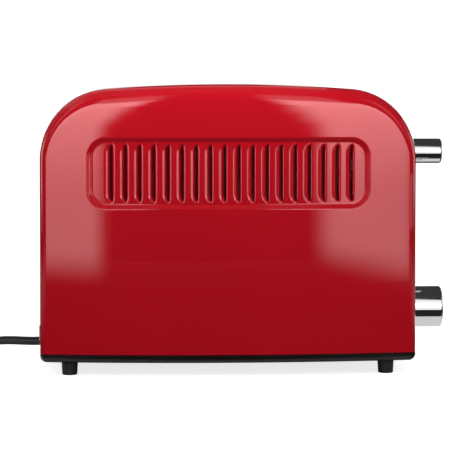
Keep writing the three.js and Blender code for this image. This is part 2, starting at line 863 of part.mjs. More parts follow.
function guideRod() {
  const bottom = baseFloorTop + seatGap;
  return rodAlongZ(rodRadius, bottom, rodTabTop() + rodOverTab, rodPlaceX, rodPlaceY, smallSides);
}

function returnSpring() {
  const bottom = baseFloorTop + rodSocketHeight + seatGap;
  const top = sleeveBottom - seatGap;
  const profile = [
    [springInnerRadius, bottom],
    [springOuterRadius, bottom],
    [springOuterRadius, top],
    [springInnerRadius, top],
    [springInnerRadius, bottom],
  ];
  return turnedAlongZ(profile, rodPlaceX, rodPlaceY, smallSides);
}

function keeperLimits() {
  const end = magnetPlaceX + magnetLength;
  return [magnetPlaceX, end, -magnetNear - magnetDepth, -magnetNear];
}

function carriagePlate() {
  const top = sleeveBottom + sleeveHeight;
  const start = carriagePlateX;
  const end = start + carriagePlateThickness;
  const half = carriagePlateHalfDepth;
  const plate = block(start, end, -half, half, sleeveBottom, top);
  const sleeve = rodAlongZ(sleeveRadius, sleeveBottom, top, rodPlaceX, rodPlaceY, knobSides / 2);
  const webHalf = carriagePlateThickness;
  const web = block(start, rodPlaceX, rodPlaceY - webHalf, rodPlaceY + webHalf, sleeveBottom, top);
  const armMiddle = -magnetNear - magnetDepth / 2;
  const armBottom = sleeveBottom + keeperThickness + seatGap;
  const armHalf = keeperArmWidth / 2;
  const armEnd = magnetPlaceX + magnetLength;
  const armTop = armBottom + keeperArmThickness;
  const arm = block(start, armEnd, armMiddle - armHalf, armMiddle + armHalf, armBottom, armTop);
  const boreTop = top + cutOverrun;
  const boreRadius = rodRadius + seatGap;
  const bore = rodAlongZ(boreRadius, sleeveBottom - cutOverrun, boreTop, rodPlaceX, rodPlaceY, smallSides);
  return cut(join(plate, sleeve, web, arm), bore);
}

function keeperPlate() {
  return block(...keeperLimits(), sleeveBottom, sleeveBottom + keeperThickness);
}

function breadRack(y) {
  const start = cordFramePlace - cutOverrun;
  const end = carriagePlateX - seatGap;
  const half = rackRailThickness / 2;
  const rail = block(start, end, y - half, y + half, rackTop - rackRailHeight, rackTop);
  const bars = Array.from({ length: rackBarCount }, (_, i) => {
    const x = slotPlaceX + rackBarSpan * (i / (rackBarCount - 1) - 1 / 2);
    const barHalf = rackBarWidth / 2;
    const bottom = rackTop - rackBarWidth;
    return block(x - barHalf, x + barHalf, y - rackBarReach, y + rackBarReach, bottom, rackTop);
  });
  return join(rail, ...bars);
}

function leverArm() {
  const start = carriagePlateX + carriagePlateThickness + seatGap;
  const end = controlTip - leverKnobLength + leverSocketDepth - seatGap;
  const half = leverArmThickness / 2;
  const rise = leverArmHeight / 2;
  return block(start, end, -half, half, leverKnobHeight - rise, leverKnobHeight + rise);
}

// A round knob with rounded rims, from its back face to the tip that both controls share.
function knobBody(radius, length, height) {
  const back = controlTip - length;
  const profile = [[0, back], [radius - knobEdge, back]];
  for (let i = 1; i <= roundSteps; i += 1) {
    const angle = ((i / roundSteps) * Math.PI) / 2;
    const inset = knobEdge * (1 - Math.sin(angle));
    profile.push([radius - inset, back + knobEdge * (1 - Math.cos(angle))]);
  }
  for (let i = 0; i <= roundSteps; i += 1) {
    const angle = ((i / roundSteps) * Math.PI) / 2;
    const inset = knobEdge * (1 - Math.cos(angle));
    profile.push([radius - inset, controlTip - knobEdge * (1 - Math.sin(angle))]);
  }
  profile.push([0, controlTip]);
  return turnedAlongX(profile, 0, height, knobSides);
}

function leverKnob() {
  const back = controlTip - leverKnobLength;
  const half = leverArmThickness / 2 + seatGap;
  const rise = leverArmHeight / 2 + seatGap;
  const end = back + leverSocketDepth;
  const socket = block(back - cutOverrun, end, -half, half, leverKnobHeight - rise, leverKnobHeight + rise);
  return cut(knobBody(leverKnobRadius, leverKnobLength, leverKnobHeight), socket);
}

// Magnet

function magnetCore() {
  const [x0, x1, y0, y1] = keeperLimits();
  const top = sleeveBottom - carriageTravel - seatGap;
  const middle = (x0 + x1) / 2;
  const yoke = block(x0, x1, y0, y1, magnetBottom, magnetBottom + magnetYoke);
  const legs = [
    block(x0, x0 + magnetOuterLeg, y0, y1, magnetBottom, top),
    block(middle - magnetMiddleLeg / 2, middle + magnetMiddleLeg / 2, y0, y1, magnetBottom, top),
    block(x1 - magnetOuterLeg, x1, y0, y1, magnetBottom, top),
  ];
  return join(yoke, ...legs);
}

function magnetCoil() {
  const [x0, x1, y0, y1] = keeperLimits();
  const middle = (x0 + x1) / 2;
  const bottom = magnetBottom + magnetYoke + seatGap;
  const top = sleeveBottom - carriageTravel - seatGap - magnetCoilDrop;
  const inner = magnetMiddleLeg / 2 + seatGap;
  const outer = inner + magnetCoilWall;
  const over = cutOverrun;
  const body = block(middle - outer, middle + outer, y0 - magnetCoilWall, y1 + magnetCoilWall, bottom, top);
  const window = block(middle - inner, middle + inner, y0 - seatGap, y1 + seatGap, bottom - over, top + over);
  return cut(body, window);
}

// Bread guides

function guidePlaces() {
  return [
    ["guide_front_outer", -slotPlaceY - guideInset],
    ["guide_front_inner", -slotPlaceY + guideInset],
    ["guide_rear_inner", slotPlaceY - guideInset],
    ["guide_rear_outer", slotPlaceY + guideInset],
  ];
}

function wireGuide(y) {
  const radius = guideWireRadius;
  const left = cordFramePlace + frameThickness + guideSpanMargin;
  const right = controlFramePlace - guideSpanMargin;
  const pivotStart = cordFramePlace - seatGap;
  const pivotEnd = controlFramePlace + frameThickness + seatGap;
  const pivot = rodAlongX(radius, pivotStart, pivotEnd, y, guidePivotHeight, wireSides);
  const rail = rodAlongX(radius, left, right, y, guideTop, wireSides);
  const uprights = Array.from({ length: guideUprights }, (_, i) => {
    const x = left + radius + ((right - left - 2 * radius) * i) / (guideUprights - 1);
    return rodAlongZ(radius, guidePivotHeight, guideTop, x, y, wireSides);
  });
  return join(pivot, rail, ...uprights);
}

// Controls

function buttonPlaces() {
  return [["stop_button", 0], ["defrost_button", -buttonSpacing], ["reheat_button", buttonSpacing]];
}

function controlBoard() {
  const end = boardPlaceX + boardThickness;
  return block(boardPlaceX, end, -boardHalfDepth, boardHalfDepth, insideBottom, boardTop);
}

function boardFace() {
  return boardPlaceX + boardThickness + seatGap;
}

function timerPot() {
  const start = boardFace();
  return rodAlongX(potRadius, start, start + potLength, 0, browningHeight, knobSides / 2);
}

function potShaft() {
  const start = boardFace() + potLength + seatGap;
  const end = controlTip - browningLength + browningBore - seatGap;
  return rodAlongX(shaftRadius, start, end, 0, browningHeight, smallSides);
}

function browningKnob() {
  const back = controlTip - browningLength;
  const radius = shaftRadius + seatGap;
  const bore = rodAlongX(radius, back - cutOverrun, back + browningBore, 0, browningHeight, smallSides);
  return cut(knobBody(browningRadius, browningLength, browningHeight), bore);
}

function controlSwitch(y) {
  const start = boardFace();
  const half = switchHalfWidth;
  return block(start, start + switchDepth, y - half, y + half, buttonHeight - half, buttonHeight + half);
}

function pushButton(y) {
  const back = boardFace() + switchDepth + seatGap + buttonTravel;
  const profile = [
    [0, back],
    [buttonFlangeRadius, back],
    [buttonFlangeRadius, back + buttonFlangeThickness],
    [buttonRadius, back + buttonFlangeThickness],
    [buttonRadius, buttonTip],
    [0, buttonTip],
  ];
  return turnedAlongX(profile, y, buttonHeight, knobSides / 2);
}

// Crumb tray

function crumbTray() {
  const start = -trayFacePlace;
  const half = trayHalfWidth;
  const body = block(start, trayEndX, -half, half, trayBottom, trayBottom + trayRim);
  const inner = half - trayWall;
  const floor = trayBottom + trayFloor;
  const above = trayBottom + trayRim + cutOverrun;
  const inside = block(start + trayWall, trayEndX - trayWall, -inner, inner, floor, above);
  const faceStart = start - trayFaceThickness;
  const faceEnd = start + trayWall / 2;
  const wide = trayFaceHalfWidth;
  const face = block(faceStart, faceEnd, -wide, wide, trayBottom, trayBottom + trayFaceHeight);
  return join(cut(body, inside), face);
}

// Cord

function cordBush() {
  const profile = [
    [0, -cordExitX],
    [bushOuterRadius, -cordExitX],
    [bushInnerRadius, -cordExitX + bushLength],
    [0, -cordExitX + bushLength],
  ];
  return turnedAlongX(profile, 0, cordExitHeight, knobSides / 2);
}

// Points of the lead, chosen by hand from its exit: straight out of the bush, then down to the coil's height.
function leadPoints() {
  return [
    [-0.3, 0, 14.4],
    [-6.5, 0, 14.45],
    [-13.5, 0, 14.7],
    [-20.5, 0, 14.95],
    [-27.5, 0, 14.9],
    [-34.5, 0, 14.1],
    [-41.5, 0, 12.3],
    [-48.5, 0, 10],
    [-55.5, 0, 7.7],
    [-61.5, 0, 5.9],
    [-66.5, 0, 4.8],
    [-72.5, 0, 4.5],
  ].map(([x, y, z]) => new THREE.Vector3(x - cordExitX, y, z));
}

function leadCurve() {
  return new THREE.CatmullRomCurve3(leadPoints());
}

function cordLead() {
  const section = new THREE.Shape();
  section.absarc(0, 0, cordRadius, 0, 2 * Math.PI);
  const options = { extrudePath: leadCurve(), steps: cordSteps, curveSegments: cordSides / 2 };
  return new THREE.ExtrudeGeometry(section, options);
}

// The middle radius of the turns follows from the length of cord that is left for them.
function coilShape() {
  const straight = 2 * cordRadius;
  const turning = cordLength - leadCurve().getLength() - straight - coilTail - seatGap;
  const middle = turning / (2 * Math.PI * coilTurns);
  const outer = middle + (coilPitch * coilTurns) / 4;
  const centreX = leadPoints().at(-1).x - seatGap - straight;
  return { straight, outer, centreX, centreY: outer };
}

function coilPath() {
  const { straight, outer, centreX, centreY } = coilShape();
  const steps = Math.round(coilTurns * coilStepsPerTurn);
  const climbStart = (coilTurns - coilClimbTurns) / 2;
  const points = [new THREE.Vector3(centreX + straight, 0, coilHeight)];
  for (let i = 0; i <= steps; i += 1) {
    const turn = (coilTurns * i) / steps;
    const angle = -Math.PI / 2 - 2 * Math.PI * turn;
    const radius = outer - coilPitch * Math.min(turn, coilTurns - turn);
    const climb = THREE.MathUtils.smoothstep(turn, climbStart, climbStart + coilClimbTurns);
    const x = centreX + radius * Math.cos(angle);
    const y = centreY + radius * Math.sin(angle);
    points.push(new THREE.Vector3(x, y, coilHeight + coilPitch * climb));
  }
  const last = points[points.length - 1];
  points.push(new THREE.Vector3(last.x, last.y + coilTail, last.z));
  return points;
}

// An unbroken tube through points that lie nearly level, its two end faces square to its ends.
function woundTube(path, radius, sides) {
  const up = new THREE.Vector3(0, 0, 1);
  const rings = path.map((point, i) => {
    const before = path[Math.max(i - 1, 0)];
    const after = path[Math.min(i + 1, path.length - 1)];
    const along = after.clone().sub(before).normalize();
    const side = along.clone().cross(up).normalize();
    const rise = side.clone().cross(along);
    return Array.from({ length: sides }, (_, k) => {
      const angle = (2 * Math.PI * k) / sides;
      const out = side.clone().multiplyScalar(radius * Math.cos(angle));
      return point.clone().add(out).addScaledVector(rise, radius * Math.sin(angle));
    });
  });
  return loft(rings);
}

// The least gap of the coil to itself, between points more than half a turn apart.
function leastCoilGap() {
  const path = coilPath();
  let least = Infinity;
  for (let i = 0; i < path.length; i += 1) {
    for (let j = i + coilStepsPerTurn / 2; j < path.length; j += 1) {
      least = Math.min(least, path[i].distanceTo(path[j]) - 2 * cordRadius);
    }
  }
  return least;
}

// The tie is a band round the bundle at the back of the coil, where no turn climbs.
function cordTie() {
  const { outer, centreX, centreY } = coilShape();
  const outermost = outer - coilPitch / 2;
  const innermost = outer - (coilPitch * (coilTurns - coilClimbTurns / 2 - 1 / 2)) / 2;
  const reach = cordRadius + tieClearance;
  const y0 = centreY + innermost - reach;
  const y1 = centreY + outermost + reach;
  const z0 = coilHeight - reach;
  const z1 = coilHeight + coilPitch + reach;
  const ringAt = (x, grow) => {
    const halfWidth = (y1 - y0) / 2 + grow;
    const halfHeight = (z1 - z0) / 2 + grow;
    const outline = roundedRectangle(halfWidth, halfHeight, cordRadius + grow, 1);
    return outline.map(([y, z]) => new THREE.Vector3(x, (y0 + y1) / 2 + y, (z0 + z1) / 2 + z));
  };
  const start = centreX - tieWidth / 2;
  const end = centreX + tieWidth / 2;
  const band = loft([ringAt(start, tieThickness), ringAt(end, tieThickness)]);
  return cut(band, loft([ringAt(start - cutOverrun, 0), ringAt(end + cutOverrun, 0)]));
}

function plugPlace() {
  const path = coilPath();
  const end = path[path.length - 1];
  return new THREE.Vector3(end.x, end.y + seatGap, end.z);
}

function plugBlades() {
  const place = plugPlace();
  const faceY = place.y + plugNeckLength + plugLength;
  return [-1, 1].map((side) => {
    const x = place.x + (side * bladeSpacing) / 2;
    return { x, y0: faceY - bladePocket, y1: faceY + bladeReach, z: place.z };
  });
}

function plugBlade({ x, y0, y1, z }, grow) {
  const half = bladeThickness / 2 + grow;
  const rise = bladeHeight / 2 + grow;
  return block(x - half, x + half, y0 - grow, y1 + grow, z - rise, z + rise);
}

function plugBody() {
  const place = plugPlace();
  const ringAt = (along, halfWidth, halfHeight, corner) => {
    const outline = roundedRectangle(halfWidth, halfHeight, corner, 1);
    return outline.map(([x, z]) => new THREE.Vector3(place.x + x, place.y + along, place.z + z));
  };
  const neck = plugNeckRadius;
  const rings = [
    ringAt(0, neck, neck, neck - seatGap),
    ringAt(plugNeckLength, neck + cordRadius / 2, neck + cordRadius / 2, neck),
    ringAt(plugNeckLength + plugCorner, plugHalfWidth, place.z, plugCorner),
    ringAt(plugNeckLength + plugLength, plugHalfWidth, place.z, plugCorner),
  ];
  return cut(loft(rings), ...plugBlades().map((blade) => plugBlade(blade, seatGap)));
}

// Finishes

function finish(color, roughness, metalness) {
  return new THREE.MeshStandardMaterial({ color, roughness, metalness });
}

const redEnamel = () => finish(0xa5111e, 0.28, 0.1);
const blackPlastic = () => finish(0x1a0e10, 0.5, 0);
const chrome = () => finish(0xd8d8dc, 0.1, 1);
const brushedSteel = () => finish(0xb4b6b8, 0.35, 1);
const plainSteel = () => finish(0x9a9c9e, 0.45, 0.9);
const mica = () => finish(0xb8a888, 0.7, 0);
const heaterWire = () => finish(0x6c6460, 0.5, 0.8);
const rubber = () => finish(0x141414, 0.9, 0);
const boardGreen = () => finish(0x1e5a34, 0.6, 0);
const copper = () => finish(0xb06a3a, 0.4, 0.8);
const brass = () => finish(0xc8a860, 0.3, 1);

// Assembly: one group for each body that moves, all in one frame

const toaster = new THREE.Group();

function bodyGroup() {
  const group = new THREE.Group();
  toaster.add(group);
  return group;
}

function addPiece(group, name, geometry, material) {
  const mesh = new THREE.Mesh(toCreasedNormals(geometry, creaseAngle), material);
  mesh.name = name;
  group.add(mesh);
  return mesh;
}

const housing = bodyGroup();
addPiece(housing, "front_shell", sideShell(), redEnamel());
addPiece(housing, "rear_shell", sideShell(), redEnamel()).rotation.z = Math.PI;
addPiece(housing, "top_deck", topDeck(), brushedSteel());
addPiece(housing, "cord_end_panel", cordEndPanel(), redEnamel());
addPiece(housing, "control_end_panel", controlEndPanel(), redEnamel());
addPiece(housing, "base_plate", basePlate(), blackPlastic());
for (const [name, sx, sy] of footPlaces()) {
  const x = sx * footPlaceX;
  const y = sy * footPlaceY;
  addPiece(housing, "foot_" + name, foot(x, y), rubber());
  addPiece(housing, "foot_screw_" + name, footScrew(x, y), plainSteel());
}
addPiece(housing, "cord_end_frame", cordEndFrame(), plainSteel());
addPiece(housing, "control_end_frame", controlEndFrame(), plainSteel());
addPiece(housing, "heat_shield_front", heatShield(-1), plainSteel());
addPiece(housing, "heat_shield_rear", heatShield(1), plainSteel());
for (const [name, side] of [["front", -1], ["middle", 0], ["rear", 1]]) {
  const y = side * cardPlaceY;
  addPiece(housing, "heater_card_" + name, notchedCard(y), mica());
  addPiece(housing, "heater_winding_" + name, heaterWinding(y).geometry, heaterWire());
}
addPiece(housing, "guide_rod", guideRod(), plainSteel());
addPiece(housing, "return_spring", returnSpring(), plainSteel());
addPiece(housing, "magnet_core", magnetCore(), plainSteel());
addPiece(housing, "magnet_coil", magnetCoil(), copper());
addPiece(housing, "control_board", controlBoard(), boardGreen());
addPiece(housing, "timer_pot", timerPot(), blackPlastic());
for (const [name, y] of buttonPlaces()) {
  addPiece(housing, name.replace("button", "switch"), controlSwitch(y), blackPlastic());
}
addPiece(housing, "cord_bush", cordBush(), rubber());
addPiece(housing, "cord_lead", cordLead(), rubber());
addPiece(housing, "cord_coil", woundTube(coilPath(), cordRadius, coilSides), rubber());
addPiece(housing, "cord_tie", cordTie(), rubber());
addPiece(housing, "plug_body", plugBody(), rubber());
plugBlades().forEach((blade, i) => {
  addPiece(housing, i === 0 ? "plug_blade_left" : "plug_blade_right", plugBlade(blade, 0), brass());
});

const carriage = bodyGroup();
addPiece(carriage, "carriage_plate", carriagePlate(), plainSteel());
addPiece(carriage, "keeper_plate", keeperPlate(), plainSteel());
addPiece(carriage, "bread_rack_front", breadRack(-slotPlaceY), plainSteel());
addPiece(carriage, "bread_rack_rear", breadRack(slotPlaceY), plainSteel());
addPiece(carriage, "lever_arm", leverArm(), plainSteel());
addPiece(carriage, "lever_knob", leverKnob(), chrome());

const browning = bodyGroup();
addPiece(browning, "browning_knob", browningKnob(), chrome());
addPiece(browning, "pot_shaft", potShaft(), plainSteel());

for (const [name, y] of buttonPlaces()) {
  addPiece(bodyGroup(), name, pushButton(y), chrome());
}
for (const [name, y] of guidePlaces()) {
  addPiece(bodyGroup(), name, wireGuide(y), plainSteel());
}
addPiece(bodyGroup(), "crumb_tray", crumbTray(), brushedSteel());

// The middle of the length over everything but the cord stands at the origin.
toaster.position.x = -(controlTip - cordExitX) / 2;

console.log("least gap of the coil to itself", leastCoilGap().toFixed(3), "mm");

export default toaster;
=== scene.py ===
"""A red two-slot toaster: its visible surfaces, finishes, camera and studio light.

Everything is in metres in the frame's own axes: +X runs along the bread slots to the controls, +Y to the rear
long side and +Z up. The body's middle lies a little to the left of the origin, at BODY_MIDDLE_X.
"""

import logging
import math
from collections.abc import Callable, Iterable, Sequence
from dataclasses import dataclass
from enum import Enum

import bmesh
import bpy
from bmesh.types import BMEdge, BMesh, BMVert
from mathutils import Matrix, Vector


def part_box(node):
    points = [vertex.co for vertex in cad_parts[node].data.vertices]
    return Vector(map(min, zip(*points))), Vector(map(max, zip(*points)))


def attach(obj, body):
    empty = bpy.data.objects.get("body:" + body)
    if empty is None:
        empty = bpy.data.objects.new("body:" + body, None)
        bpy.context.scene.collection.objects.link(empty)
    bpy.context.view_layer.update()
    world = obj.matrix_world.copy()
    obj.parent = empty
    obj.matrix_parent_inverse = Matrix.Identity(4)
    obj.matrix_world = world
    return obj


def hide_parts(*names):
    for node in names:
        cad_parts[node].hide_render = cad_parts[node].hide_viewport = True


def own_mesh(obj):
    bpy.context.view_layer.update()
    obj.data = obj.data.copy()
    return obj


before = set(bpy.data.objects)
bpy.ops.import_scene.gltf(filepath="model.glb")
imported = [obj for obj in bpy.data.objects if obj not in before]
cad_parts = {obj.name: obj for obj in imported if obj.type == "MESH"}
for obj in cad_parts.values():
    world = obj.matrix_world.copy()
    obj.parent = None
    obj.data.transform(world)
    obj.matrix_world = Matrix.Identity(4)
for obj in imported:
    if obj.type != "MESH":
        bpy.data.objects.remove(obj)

LOG = logging.getLogger("toaster")

Pair = tuple[float, float]
Triple = tuple[float, float, float]
Color = tuple[float, float, float, float]
Socket = bpy.types.NodeSocket

MM = 0.001
# Points that lie closer than WELD become one, and NEAR tells whether a point lies on a line.
WELD = 1e-7
NEAR = 1e-6
BODY_MIDDLE_X = -12.45 * MM
SEAT_GAP = 0.3 * MM
PANEL_GAP = 0.4 * MM
SHARP_ANGLE = math.radians(35)
SIDES = (("front", -1), ("rear", 1))
ENDS = (("left", -1), ("right", 1))


# Meshes


class Axis(Enum):
    """The line that a turned piece is turned about."""

    X = "x"
    Z = "z"


def mapped_grid(columns: int, rows: int, place: Callable[[int, int], Vector]) -> BMesh:
    """Makes a grid and moves each of its points to its place.

    Args:
        columns: Points along the grid's first direction.
        rows: Points along its second direction.
        place: Gives the place of the point in a column and a row.

    Returns:
        The grid as a mesh of quads.
    """
    bm = bmesh.new()
    bmesh.ops.create_grid(bm, x_segments=columns - 1, y_segments=rows - 1, size=1.0)
    for vert in bm.verts:
        i = round((vert.co.x + 1.0) / 2.0 * (columns - 1))
        j = round((vert.co.y + 1.0) / 2.0 * (rows - 1))
        vert.co = place(i, j)
    return bm


def put_in_scene(name: str, bm: BMesh) -> bpy.types.Object:
    """Makes a mesh into an object of the scene, and frees it.

    Args:
        name: The name of the object and of its data.
        bm: The mesh.

    Returns:
        The object.
    """
    mesh = bpy.data.meshes.new(name)
    bm.to_mesh(mesh)
    bm.free()
    made = bpy.data.objects.new(name, mesh)
    bpy.context.scene.collection.objects.link(made)
    return made


def face_along(bm: BMesh, way: Triple) -> None:
    """Makes the faces agree, and turns them over if the one farthest along the way looks back.

    Args:
        bm: The mesh.
        way: The way that its farthest face has to look.
    """
    out = Vector(way)
    bmesh.ops.recalc_face_normals(bm, faces=bm.faces)
    probe = max(bm.faces, key=lambda face: face.calc_center_median().dot(out))
    if probe.normal.dot(out) < 0:
        bmesh.ops.reverse_faces(bm, faces=bm.faces)


def arc(centre: Pair, radius: float, start: float, end: float, steps: int) -> list[Pair]:
    """Points of an arc, with its first and last angle in quarter turns.

    Args:
        centre: Its centre.
        radius: Its radius.
        start: Its first angle.
        end: Its last angle.
        steps: Its steps.

    Returns:
        The points in order.
    """
    angles = [(start + (end - start) * k / steps) * math.pi / 2 for k in range(steps + 1)]
    return [(centre[0] + radius * math.cos(angle), centre[1] + radius * math.sin(angle)) for angle in angles]


def closed_tube(rings: Sequence[Sequence[Vector]], capped: bool = True) -> BMesh:
    """Skins a row of closed rings that have equal counts.

    Args:
        rings: The rings in order, each without its first point repeated.
        capped: Whether the two end rings are filled.

    Returns:
        The skin, with its faces pointing outwards.
    """
    count = len(rings[0])
    bm = mapped_grid(count + 1, len(rings), lambda i, j: rings[j][i % count].copy())
    bmesh.ops.remove_doubles(bm, verts=bm.verts, dist=WELD)
    if capped:
        open_edges = [edge for edge in bm.edges if edge.is_boundary]
        bmesh.ops.edgeloop_fill(bm, edges=open_edges)
    bmesh.ops.recalc_face_normals(bm, faces=bm.faces)
    return bm


def turned(profile: Sequence[Pair], axis: Axis, centre: Vector, steps: int) -> BMesh:
    """Turns a profile full round a line.

    Args:
        profile: Pairs of the distance from the line and the place along it. It starts and ends on the line,
            or closes on itself.
        axis: The direction of the line.
        centre: A point on the line, from which the places along it are measured.
        steps: The number of steps in a full turn.

    Returns:
        The closed, turned mesh.
    """
    bm = bmesh.new()
    verts = []
    for radius, along in profile:
        offset = Vector((along, 0, radius)) if axis is Axis.X else Vector((radius, 0, along))
        verts.append(bm.verts.new(centre + offset))
    for a, b in zip(verts, verts[1:]):
        bm.edges.new((a, b))
    line = (1, 0, 0) if axis is Axis.X else (0, 0, 1)
    geometry = bm.verts[:] + bm.edges[:]
    bmesh.ops.spin(bm, geom=geometry, cent=centre, axis=line, angle=math.tau, steps=steps, use_merge=True)
    bmesh.ops.remove_doubles(bm, verts=bm.verts, dist=NEAR)
    bmesh.ops.recalc_face_normals(bm, faces=bm.faces)
    return bm


def rounded_box(low: Vector, high: Vector, radius: float, segments: int = 3) -> BMesh:
    """Makes a box between two corners with all its edges rounded.

    Args:
        low: The lowest corner.
        high: The highest corner.
        radius: The radius of the edges.
        segments: The steps of each rounding.

    Returns:
        The rounded box.
    """
    bm = bmesh.new()
    bmesh.ops.create_cube(bm, size=1.0)
    bmesh.ops.scale(bm, vec=high - low, verts=bm.verts)
    bmesh.ops.translate(bm, vec=(low + high) / 2, verts=bm.verts)
    bmesh.ops.bevel(
        bm, geom=bm.edges[:], offset=radius, offset_type="OFFSET", segments=segments, profile=0.5,
        affect="EDGES", material=-1, clamp_overlap=True,
    )
    return bm


def rounded_rectangle(half_width: float, half_height: float, corner: float, steps: int) -> list[Pair]:
    """Points round a rounded rectangle about the origin.

    Args:
        half_width: Half its width.
        half_height: Half its height.
        corner: The radius of its corners.
        steps: The steps of each corner.

    Returns:
        Pairs in order, without the first repeated.
    """
    points = []
    for k, (sx, sy) in enumerate(((1, 1), (-1, 1), (-1, -1), (1, -1))):
        centre = (sx * (half_width - corner), sy * (half_height - corner))
        points += arc(centre, corner, k, k + 1, steps)
    return points


def tube_along(path: Sequence[Vector], radius: float, sides: int) -> BMesh:
    """Makes a round tube through points, with its section carried along without a twist.

    Args:
        path: The points of its centreline.
        radius: Its radius.
        sides: The sides of its section.

    Returns:
        The closed tube.
    """
    turns = [math.tau * k / sides for k in range(sides)]
    across = (path[1] - path[0]).normalized().orthogonal().normalized()
    rings = []
    for i, point in enumerate(path):
        ahead = (path[min(i + 1, len(path) - 1)] - path[max(i - 1, 0)]).normalized()
        across = (across - ahead * across.dot(ahead)).normalized()
        up = ahead.cross(across)
        rings.append([point + (across * math.cos(t) + up * math.sin(t)) * radius for t in turns])
    return closed_tube(rings)


def smoothstep(low: float, high: float, value: float) -> float:
    """The smooth rise from 0 at low to 1 at high."""
    share = min(max((value - low) / (high - low), 0.0), 1.0)
    return share * share * (3 - 2 * share)


class Piece:
    """One visible piece, on its way from a mesh to a dressed object that rides on a body."""

    def __init__(self, name: str, bm: BMesh, sharp_angle: float = SHARP_ANGLE) -> None:
        """Makes the object from a mesh.

        Args:
            name: The object's name.
            bm: Its mesh in the frame's axes, which is freed here.
            sharp_angle: Edges that turn by more than this stay sharp.
        """
        self.object = put_in_scene(name, bm)
        self.sharp_angle = sharp_angle

    def sheet(self, thickness: float) -> "Piece":
        """Gives an open surface its wall, inwards from its faces.

        Args:
            thickness: The wall's thickness.

        Returns:
            The piece itself.
        """
        wall = self.object.modifiers.new("wall", "SOLIDIFY")
        wall.thickness = thickness
        wall.offset = -1.0
        wall.use_even_offset = False
        wall.use_rim = True
        self.settle()
        return self

    def place(self, turn: float = 0.0) -> "Piece":
        """Turns the piece about the upright line and moves it to the body's middle.

        Args:
            turn: The turn, in radians.

        Returns:
            The piece itself.
        """
        move = Matrix.Translation((BODY_MIDDLE_X, 0, 0)) @ Matrix.Rotation(turn, 4, "Z")
        self.object.data.transform(move)
        return self

    def cut(self, cutters: Iterable[BMesh]) -> "Piece":
        """Cuts shapes out of the piece and keeps the result as its mesh.

        Args:
            cutters: Closed shapes, which are freed here.

        Returns:
            The piece itself.
        """
        tools = [put_in_scene("cutter", bm) for bm in cutters]
        for tool in tools:
            hole = self.object.modifiers.new("hole", "BOOLEAN")
            hole.operation = "DIFFERENCE"
            hole.solver = "EXACT"
            hole.object = tool
        self.settle()
        for tool in tools:
            mesh = tool.data
            bpy.data.objects.remove(tool)
            bpy.data.meshes.remove(mesh)
        return self

    def settle(self) -> None:
        """Makes what the modifiers give the piece's own mesh."""
        bpy.context.view_layer.update()
        graph = bpy.context.evaluated_depsgraph_get()
        mesh = bpy.data.meshes.new_from_object(self.object.evaluated_get(graph))
        old = self.object.data
        self.object.modifiers.clear()
        self.object.data = mesh
        bpy.data.meshes.remove(old)

    def dress(self, finish: "Finish", body: str, replaces: Sequence[str] = ()) -> bpy.types.Object:
        """Shades the piece, gives it its finish and puts it on its body.

        Args:
            finish: The finish.
            body: The body that it rides on.
            replaces: The frame's nodes that it stands for.

        Returns:
            The finished object.
        """
        mesh = self.object.data
        mesh.polygons.foreach_set("use_smooth", [True] * len(mesh.polygons))
        mesh.set_sharp_from_angle(angle=self.sharp_angle)
        mesh.materials.clear()
        mesh.materials.append(finish.material())
        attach(self.object, body)
        if replaces:
            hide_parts(*replaces)
        LOG.info("%s rides on %s, %d faces", self.object.name, body, len(mesh.polygons))
        return self.object


# Finishes


